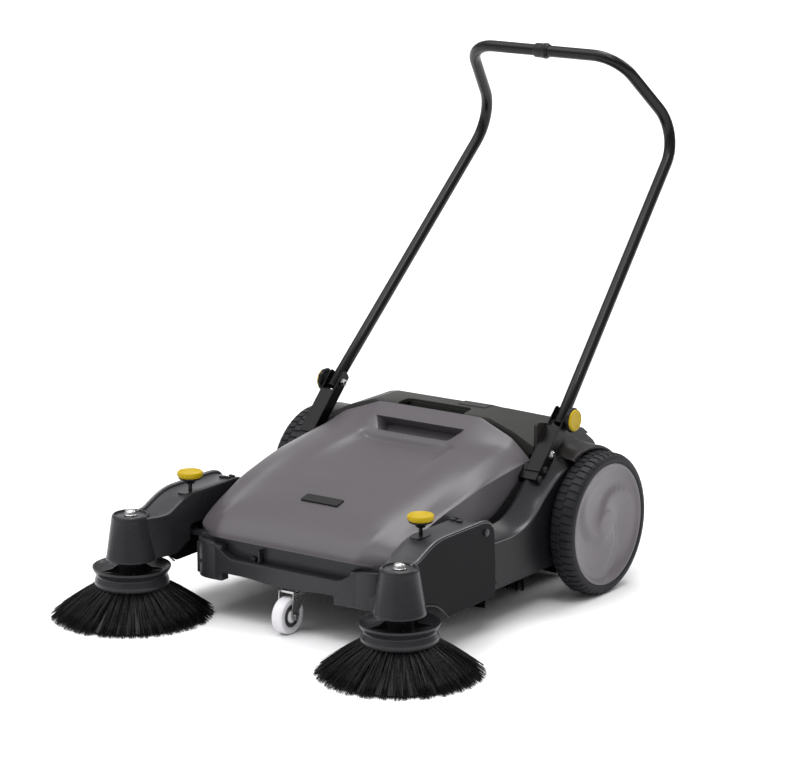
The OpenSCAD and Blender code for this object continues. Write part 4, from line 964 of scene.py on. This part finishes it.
def build_height_knob(side, sign):
    body = "height_" + side
    centre = (sign * KNOB_X, KNOB_Y, 0)
    bm = bmesh.new()
    scalloped(bm, [(268, 21, 0), (268, 24.6, 1), (269.4, 26, 1), (272, 26.7, 1), (275.6, 26.8, 1),
                   (278, 26.2, 1), (279.4, 25, 0.8), (280, 23.2, 0.4), (279.8, 21.6, 0),
                   (278.2, 20, 0), (277.2, 16, 0), (277, 6, 0)], centre, "Z", 16, 0.5)
    finish_mesh("height_knob_cap_" + side, bm, body, "yellow_plastic", ("height_knob_" + side,), smooth=40)
    bm = bmesh.new()
    turned(bm, [(156.2, 0.1), (156.2, 8.6), (157, 9), (160, 9), (161, 8.4), (161, 4), (254, 4), (254, 8.6),
                (255, 9.4), (258, 11), (260.4, 14.4), (262.4, 18.6), (264, 23), (265.2, 24), (267.6, 24),
                (267.9, 23), (267.9, 0.1)], centre, "Z", 40)
    finish_mesh("height_skirt_" + side, bm, body, "black_plastic", ("height_spindle_" + side,), smooth=38)


for side, sign in SIDES:
    for build in (arm_outer_wall, arm_top, arm_inner_wall, arm_boss, arm_bead, arm_details, arm_pin_boss,
                  build_spindle_bolt, build_height_knob):
        build(side, sign)

# ------------------------------------------------------------------ bumper across the front

# The bumper's frame_plastic is a lighter copy of the black plastic: painted light on its front faces.
NOSE = -597                   # front face of the bumper
CORNER_R = 46


def eased(t):
    t = min(1, max(0, t))
    return t * t * (3 - 2 * t)


def bumper_front(x):
    """Y of the bumper's front face: straight, then round at the corners."""
    over = max(0, abs(x) - 196)
    return NOSE + CORNER_R - math.sqrt(CORNER_R ** 2 - min(over, 45.9) ** 2)


def bumper_lip():
    bm = bmesh.new()
    rows = []
    for k in range(97):
        x = -240 + 5 * k
        front = bumper_front(x) - 3.5 * (1 - eased((abs(x) - 150) / 40))
        top = 133 + 27 * eased((abs(x) - 128) / 62)
        low = 101 - 6 * (1 - eased(abs(x) / 120)) - 14 * eased((abs(x) - 158) / 10)
        back = max(front + 12, NOSE + 20)
        section = [(front + 3, low - 0.5), (front + 0.8, low + 0.4), (front, low + 3), (front, top - 5),
                   (front - 1, top - 2), (front - 0.2, top + 0.4), (front + 2.2, top + 1),
                   (front + 4, top - 0.6), (front + 6, top - 1.4), (back, top - 1)]
        rows.append([at(x, y, z) for y, z in section])
    grid(bm, rows)
    ob = finish_mesh("bumper_lip", bm, "chassis", "frame_plastic", ("front_bumper",), smooth=40)
    thicken(ob, 2.4, (0, -1, 0))


def bumper_recess():
    """Set back wall under the hood's nose, its floor, and the small ribs of the recess."""
    bm = bmesh.new()
    cuboid(bm, (-226, NOSE + 20, 128), (226, NOSE + 24, 170))
    cuboid(bm, (-226, NOSE + 3, 112), (226, NOSE + 70, 117))
    cuboid(bm, (-72, NOSE + 6, 130), (-68, NOSE + 21, 160))
    cuboid(bm, (-96, NOSE + 12, 131), (-84, NOSE + 21, 141))
    for x in (-150, 60, 150):
        cuboid(bm, (x - 1.5, NOSE + 2, 106), (x + 1.5, NOSE + 60, 113))
    finish_mesh("bumper_recess", bm, "chassis", "frame_plastic", bevel=0.7)


def bumper_corners():
    """A round block at each corner, and a lower foot on the operator's left."""
    block = [(160, NOSE - 1), (196, NOSE - 1)]
    block += [(196 + CORNER_R * math.sin(a), NOSE + CORNER_R - (CORNER_R + 1) * math.cos(a))
              for a in (0.3, 0.6, 0.9, 1.2, 1.45)]
    block += [(242, NOSE + 58), (234, NOSE + 58), (234, NOSE + 24), (160, NOSE + 24)]
    block = rounded(block, 5, 3)
    foot = [(120, NOSE - 3), (236, NOSE + 2), (236, NOSE + 24), (120, NOSE + 24)]
    bm = bmesh.new()
    prism(bm, block, 83, 157, "Z")
    prism(bm, [(-x, y) for x, y in reversed(block)], 83, 157, "Z")
    prism(bm, rounded(foot, 7, 3), 83, 112, "Z")
    finish_mesh("bumper_corners", bm, "chassis", "frame_plastic", bevel=3.0)


bumper_lip()
bumper_recess()
bumper_corners()

# ------------------------------------------------------------------ badge: a plain blank plate

BADGE_Y, BADGE_Z, BADGE_TILT = -470, 248.45, math.atan2(22, 90)


def build_badge():
    bm = bmesh.new()
    prism(bm, rounded(rectangle(-46, -13, 46, 13), 3, 4), -2.6, 1.4, "Z")
    turn = Matrix.Translation(at(0, BADGE_Y, BADGE_Z)) @ Matrix.Rotation(BADGE_TILT, 4, "X")
    bm.transform(turn @ Matrix.Translation(-at(0, 0, 0)))
    finish_mesh("badge_plate", bm, "chassis", "badge_plastic", ("hood_badge",), bevel=0.7)


build_badge()

# ------------------------------------------------------------------ handle, its brackets and clamps

FOLD = Vector((289, -33, 368))           # the pivot, and the two bends above it
BEND_A = Vector((241, 497, 883))
BEND_B = Vector((188, 331, 1062))
FOOT = 13                                # how far the tube reaches below the pivot
UP = (BEND_A - FOLD).normalized()
LEAN = math.atan2(UP.z, UP.y)


def fillet(p, q, r, radius, steps=10):
    """Points on the arc that rounds the corner q between p and r."""
    u, v = (q - p).normalized(), (r - q).normalized()
    turn = u.angle(v)
    start = q - u * radius * math.tan(turn / 2)
    inward = (v - u * u.dot(v)).normalized()
    angles = [turn * k / steps for k in range(steps + 1)]
    return [start + u * radius * math.sin(a) + inward * radius * (1 - math.cos(a)) for a in angles]


def build_handle(side, sign):
    flip = Vector((sign, 1, 1))
    middle = Vector((0.3, BEND_B.y, BEND_B.z))
    foot = FOLD - UP * FOOT
    path = [foot, foot + UP * 1.2] + [foot.lerp(BEND_A, t) for t in (0.2, 0.5, 0.8)]
    path += fillet(foot, BEND_A, BEND_B, 85)
    path += fillet(BEND_A, BEND_B, middle, 75) + [middle.lerp(BEND_B, 0.4), middle]
    bm = bmesh.new()
    tube(bm, [p * flip for p in path], [11.6, 12.5] + [12.5] * (len(path) - 2), 28)
    finish_mesh("handle_bar_" + side, bm, "handle", "handle_paint", ("handle_tube_" + side,), smooth=45)


def along_handle(bm, sign):
    """Turns a shape drawn as (across, up the handle, square to both) around the pivot."""
    move = Matrix.Translation(at(*FOLD)) @ Matrix.Rotation(LEAN, 4, "X") @ Matrix.Translation(-at(0, 0, 0))
    bm.transform(move)
    side_of(bm, sign)


def bolt_head(bm, w, seat):
    """A washer and a low round head, w up the handle from the pivot and seat out from its middle."""
    turned(bm, [(seat - 0.5, 8.6), (seat + 1, 8.6), (seat + 1.2, 6.9), (seat + 4, 6.7), (seat + 5.2, 5.4),
                (seat + 5.4, 0.1)], (0, w, 0), "X", 24)


def build_bracket(side, sign):
    bm = bmesh.new()
    cheek = rounded([(-140, -13.8), (24, -13.8), (24, 14.4), (-140, 13.8)], [4, 11, 11, 4], 4)
    prism(bm, cheek, -18.2, -15.2)
    prism(bm, cheek, 14, 17)
    cuboid(bm, (-16, -139, 11), (15, -28, 13.7))
    cuboid(bm, (-16, 15, -15.7), (15, 23.6, -13))
    cuboid(bm, (-16, -158, -11), (15, -27, 11))
    cuboid(bm, (-32.8, -157, -10.8), (0, -121, 10.8))
    along_handle(bm, sign)
    replaced = ("handle_brackets",) if side == "left" else ()
    finish_mesh("bracket_" + side, bm, "chassis", "bracket_paint", replaced, bevel=1.1)
    bm = bmesh.new()
    for w, seat in ((-126, 17), (-149, 15)):
        bolt_head(bm, w, seat)
    along_handle(bm, sign)
    finish_mesh("bracket_stem_bolts_" + side, bm, "chassis", "dark_steel", smooth=30)
    bm = bmesh.new()
    bolt_head(bm, -88, 17)
    turned(bm, [(-18.4, 8.4), (-19.6, 8.4), (-19.8, 7.4), (-24, 7.4), (-25, 6.4), (-25.1, 4.2)],
           (0, 0, 0), "X", 6)
    along_handle(bm, sign)
    replaced = ("bracket_bolts",) if side == "left" else ()
    finish_mesh("bracket_bolts_" + side, bm, "chassis", "zinc_steel", replaced, smooth=30)


def build_clamp(side, sign):
    body = "clamp_" + side
    origin = (sign * FOLD.x, FOLD.y, FOLD.z)
    bm = bmesh.new()
    scalloped(bm, [(-25.2, 3.6, 0), (-24.6, 4, 0), (17.2, 4, 0), (17.2, 12, 0), (18.4, 14.4, 0), (20, 16, 0),
                   (21.2, 20, 0.3), (22.4, 24.4, 1), (24, 25.6, 1), (28.6, 25.6, 1), (30.4, 24.8, 1),
                   (31, 23.4, 0.6), (31, 18, 0)], origin, "X", 10, 1.8, 80, sign)
    finish_mesh("clamp_grip_" + side, bm, body, "black_plastic", ("clamp_knob_" + side,), smooth=38)
    bm = bmesh.new()
    turned(bm, [(31, 22.4), (32.6, 22.6), (34.2, 21.8), (35.2, 20.2), (35.4, 18.6), (34.8, 17.4), (34.5, 15),
                (34.6, 0.1)], origin, "X", 48, sign)
    finish_mesh("clamp_disc_" + side, bm, body, "yellow_plastic", ("clamp_cap_" + side,), smooth=38)


def build_sleeve():
    bm = bmesh.new()
    turned(bm, [(-17, 12.6), (-17, 14), (-16, 15.2), (-14.4, 15.9), (3.4, 15.9), (4, 15.4), (4.6, 16.4),
                (5.6, 17), (11.6, 17), (12.6, 16.2), (13, 15.2), (16, 14.6), (17, 13.8), (17, 12.6)],
           (0, BEND_B.y, BEND_B.z), "X", 40, ring=True)
    finish_mesh("handle_collar", bm, "handle", "sleeve_plastic", ("handle_sleeve",), smooth=32)
    bm = bmesh.new()
    for sign in (1, -1):
        flip = Vector((sign, 1, 1))
        foot = FOLD - UP * FOOT
        path = [foot - UP * 2.3, foot - UP * 1.9, foot - UP * 0.2]
        tube(bm, [p * flip for p in path], [11, 12, 12], 28)
    finish_mesh("handle_feet", bm, "handle", "black_plastic", ("handle_plugs",), smooth=40)


for side, sign in SIDES:
    build_handle(side, sign)
    build_bracket(side, sign)
    build_clamp(side, sign)
build_sleeve()

# ------------------------------------------------------------------ caster

CASTER_Y, CASTER_TRAIL, CASTER_R = -563, 27, 37.5
WHEEL_Y = CASTER_Y - CASTER_TRAIL


def caster_fork():
    bm = bmesh.new()
    turned(bm, [(88, 0.1), (88, 18), (89, 20), (92, 20), (93, 17), (95, 15.4), (106, 14.6), (107.6, 13),
                (107.9, 6), (111, 6), (111, 0.1)], (0, CASTER_Y, 0), "Z", 40)
    prism(bm, rounded(rectangle(-19, WHEEL_Y - 2, 19, CASTER_Y + 9), 5, 3), 84, 88.6, "Z")
    leg = [(CASTER_Y + 10, 88), (CASTER_Y - 30, 88), (WHEEL_Y - 10, 36), (WHEEL_Y, 27), (WHEEL_Y + 10, 36)]
    leg = rounded(leg, [3, 4, 8, 8, 8], 4)
    for x in (-19, 16.4):
        prism(bm, leg, x, x + 2.6)
    finish_mesh("caster_legs", bm, "caster_fork", "zinc_steel", ("caster_fork",), bevel=0.6)
    bm = bmesh.new()
    bolt = [(-24, 0.1), (-24, 6.4), (-23.4, 7), (-20, 7), (-19.2, 6), (-19.2, 4)]
    turned(bm, mirrored(bolt), (0, WHEEL_Y, CASTER_R), "X", 24)
    finish_mesh("caster_bolt", bm, "caster_fork", "zinc_steel", ("caster_axle",), smooth=30)


def caster_wheel():
    """The tread and hub, and a dark ring and cover between them, as on a bearing."""
    centre = (0, WHEEL_Y, CASTER_R)
    half = [(-15, 4.1), (-15, 9), (-14, 10.4), (-11.4, 13.6), (-11, 15), (-11, 23.4), (-11.6, 25.6),
            (-13, 26.6), (-13.4, 28), (-13.4, 33), (-12.6, 35.4), (-10.4, 37), (-7, 37.5)]
    bm = bmesh.new()
    turned(bm, mirrored(half), centre, "X", 56, ring=True)
    finish_mesh("caster_roller", bm, "caster_wheel", "caster_plastic", ("caster_wheel",), smooth=34)
    bm = bmesh.new()
    for flip in (1, -1):
        turned(bm, [(11.2, 14.6), (12.6, 15.4), (12.6, 22.2), (11.2, 23)], centre, "X", 48, flip, ring=True)
    finish_mesh("caster_ring", bm, "caster_wheel", "caster_ring", smooth=34)


def caster_plate():
    bm = bmesh.new()
    prism(bm, rounded(rectangle(-30, CASTER_Y - 28, 30, CASTER_Y + 28), 5, 3), 108.6, 111.8, "Z")
    head = [(105, 0.1), (105, 4.6), (105.8, 5.4), (108.6, 5.4), (108.6, 0.1)]
    for x in (-22, 22):
        for y in (-20, 20):
            turned(bm, head, (x, CASTER_Y + y, 0), "Z", 6)
    finish_mesh("caster_top_plate", bm, "chassis", "zinc_steel", ("caster_plate",), bevel=0.5)


caster_fork()
caster_wheel()
caster_plate()

# ------------------------------------------------------------------ roller brush, seals and belts

ROLLER_Z = 132
ROLLER_Y = -math.sqrt(90 ** 2 - 17 ** 2)      # the gears mesh 90 from the axle, and the roller is 17 lower


def build_roller_bristles():
    bm = bmesh.new()
    rows, tufts = 8, 58
    for k in range(rows):
        for i in range(tufts):
            x = -231 + 462 * i / (tufts - 1)
            for _ in range(5):
                a0 = 2 * math.pi * k / rows + rng.gauss(0, 0.035)
                a1 = 2 * math.pi * k / rows + rng.gauss(0, 0.035)
                r1 = rng.uniform(128.5, 131.3)
                bow = rng.gauss(0, 1.6)
                pts = []
                for t in (0, 0.5, 1):
                    r = 39 + (r1 - 39) * t
                    a = a0 + (a1 - a0) * t
                    pts.append((x + rng.uniform(-1, 1) + bow * t,
                                ROLLER_Y + r * math.cos(a), ROLLER_Z + r * math.sin(a)))
                strand(bm, pts, 2.4, 1.5, rng.uniform(0, 2))
    finish_mesh("roller_tufts", bm, "roller", "bristle_nylon", ("roller_bristles",), smooth=0)


def build_rubber():
    """Rubber strips: a thick fixed edge and a thin lip with cuts, so that it can pass over stones."""
    bm = bmesh.new()
    for y, low, high in ((-239.5, 4, 108), (56, 3, 60)):
        cuboid(bm, (-238, y - 2.4, high - 16), (238, y + 2, high))
        for k in range(12):
            x = -238 + 39.8 * k
            lean = rng.uniform(-0.5, 0.5)
            cuboid(bm, (x, y - 1.2 + lean, low + rng.uniform(0, 1)), (x + 38.6, y + 1.2 + lean, high - 14))
    cuboid(bm, (-249, 54.5, 56), (249, 64, 60))
    finish_mesh("dirt_strips", bm, "chassis", "seal_rubber", ("dirt_flaps",), bevel=0.5)
    bm = bmesh.new()
    for s in (1, -1):
        for near, far, low in ((242.4, 245.8, 48.4), (245.6, 249.6, 84.4)):
            lo, hi = sorted((s * near, s * far))
            cuboid(bm, (lo, -231, low), (hi, 49.6, 95.6))
    finish_mesh("side_strips", bm, "chassis", "seal_rubber", ("side_seals",), bevel=0.6)


def belt_path(ay, az, ar, by, bz, br, steps=16):
    """Centre line of a belt in the Y-Z plane around two pulleys, as (y, z) points."""
    span = math.hypot(by - ay, bz - az)
    base = math.atan2(bz - az, by - ay)
    half = math.acos((ar - br) / span)
    pts = []
    for k in range(steps + 1):
        a = base + half + (2 * math.pi - 2 * half) * k / steps
        pts.append((ay + ar * math.cos(a), az + ar * math.sin(a)))
    for k in range(steps + 1):
        a = base - half + 2 * half * k / steps
        pts.append((by + br * math.cos(a), bz + br * math.sin(a)))
    return pts


def build_belts():
    bm = bmesh.new()
    for s in (1, -1):
        path = belt_path(0, AXLE_Z, 32, PIVOT_Y, PIVOT_Z, 20)
        closed_tube(bm, [Vector((s * 284, y, z)) for y, z in path], 2.45)
    finish_mesh("wheel_belts", bm, "chassis", "belt_rubber", ("drive_belts",), smooth=50)
    for side, sign in SIDES:
        pts = []
        for k in range(17):
            a = math.radians(-90 + 180 * k / 16)
            pts.append(Vector((316, PIVOT_Y + 12 * math.cos(a), PIVOT_Z + 12 * math.sin(a))))
        for k in range(17):
            a = math.radians(180 * k / 16)
            pts.append(Vector((BRUSH[0] + 9.6 * math.cos(a), BRUSH[1] - 9.6 * math.sin(a), 168)))
        bm = bmesh.new()
        closed_tube(bm, [p * Vector((sign, 1, 1)) for p in pts], 2.4)
        finish_mesh("arm_belt_loop_" + side, bm, "arm_" + side, "belt_rubber", ("arm_belt_" + side,),
                    smooth=50)


build_roller_bristles()
build_rubber()
build_belts()

# ------------------------------------------------------------------ screws in the side covers


def build_screws():
    bm = bmesh.new()
    for s in (1, -1):
        for y in (-328, -94):
            turned(bm, [(305, 0.1), (305, 1.5), (325, 1.5), (325, 6), (326.4, 6), (327.2, 5), (327.5, 3.2),
                        (326.6, 3), (326.6, 0.1)], (0, y, 91), "X", 24, s)
    finish_mesh("cover_screws", bm, "chassis", "dark_steel", ("chassis_screws",), smooth=30)


build_screws()

# ------------------------------------------------------------------ carried-over CAD nodes

slots = {p["node"]: p["material_slot"] for p in frame["record"]["subparts"]}
for name, ob in frame["nodes"].items():
    ob.data.materials.clear()
    ob.data.materials.append(MAT[slots[name]])

# ------------------------------------------------------------------ floor, light and camera


def build_floor():
    bm = bmesh.new()
    bm.faces.new([bm.verts.new((x, y, 0)) for x, y in rectangle(-40, -40, 40, 40)])
    floor = linked("floor", bm)
    paint, _, bsdf = node_tree("floor_paint")
    bsdf.inputs["Base Color"].default_value = (0.90, 0.90, 0.91, 1)
    bsdf.inputs["Roughness"].default_value = 0.9
    bsdf.inputs["Specular IOR Level"].default_value = 0.1
    floor.data.materials.append(paint)


def studio_world():
    """White behind the machine. As a light it's bright above and behind, and dark towards the viewer."""
    world = bpy.data.worlds.new("studio")
    bpy.context.scene.world = world
    world.use_nodes = True
    nt = world.node_tree
    light = nt.nodes["Background"]
    way = add(nt, "ShaderNodeTexCoord").outputs["Generated"]
    split = add(nt, "ShaderNodeSeparateXYZ")
    nt.links.new(way, split.inputs["Vector"])
    above = ranged(nt, split.outputs["Z"], 0.22, 0.80, 0.10, 0.9)
    behind = add(nt, "ShaderNodeVectorMath", operation="DOT_PRODUCT")
    behind.inputs[1].default_value = (-0.80, 0.60, 0.0)
    nt.links.new(way, behind.inputs[0])
    rear = ranged(nt, behind.outputs["Value"], 0.0, 1.0, 0.88, 0.99)
    total = add(nt, "ShaderNodeMath", operation="ADD")
    nt.links.new(above, total.inputs[0])
    nt.links.new(rear, total.inputs[1])
    nt.links.new(total.outputs["Value"], light.inputs["Strength"])
    light.inputs["Color"].default_value = (1, 1, 1, 1)
    backdrop = add(nt, "ShaderNodeBackground")
    backdrop.inputs["Color"].default_value = (1, 1, 1, 1)
    backdrop.inputs["Strength"].default_value = 1.0
    mix = add(nt, "ShaderNodeMixShader")
    nt.links.new(add(nt, "ShaderNodeLightPath").outputs["Is Camera Ray"], mix.inputs["Fac"])
    nt.links.new(light.outputs["Background"], mix.inputs[1])
    nt.links.new(backdrop.outputs["Background"], mix.inputs[2])
    nt.links.new(mix.outputs["Shader"], nt.nodes["World Output"].inputs["Surface"])


def soft_sun(name, direction, strength, spread):
    d = bpy.data.lights.new(name, "SUN")
    d.energy = strength
    d.angle = math.radians(spread)
    o = bpy.data.objects.new(name, d)
    o.rotation_euler = Vector(direction).to_track_quat("-Z", "Y").to_euler()
    bpy.context.scene.collection.objects.link(o)


def build_camera():
    """The photo's view: from the operator's left of the front, a little above, through a long lens."""
    azimuth, elevation, roll = math.radians(35.6), math.radians(13.5), math.radians(-0.3)
    distance = 7.184
    camera = bpy.data.cameras.new("camera")
    camera.lens = 156.06
    camera.sensor_width = 36
    camera.clip_end = 100
    ob = bpy.data.objects.new("camera", camera)
    target = at(-25.5, -163.9, 432.3)
    toward = Vector((math.sin(azimuth) * math.cos(elevation), -math.cos(azimuth) * math.cos(elevation),
                     math.sin(elevation)))
    aim = (-toward).to_track_quat("-Z", "Y").to_matrix()
    ob.location = target + toward * distance
    ob.rotation_euler = (aim @ Matrix.Rotation(roll, 3, "Z")).to_euler()
    bpy.context.scene.collection.objects.link(ob)
    bpy.context.scene.camera = ob


build_floor()
studio_world()
soft_sun("overhead", (0.28, 0.25, -0.93), 1.5, 60)
soft_sun("sheen", (0.14, -0.40, -0.90), 1.2, 26)
soft_sun("rear_strip", (-0.23, -0.79, -0.57), 0.55, 20)
soft_sun("front_box", (-0.33, 0.29, -0.84), 0.6, 18)
soft_sun("front_fill", (0.60, 0.75, -0.30), 0.5, 80)
build_camera()
bpy.context.scene.view_settings.view_transform = "Standard"
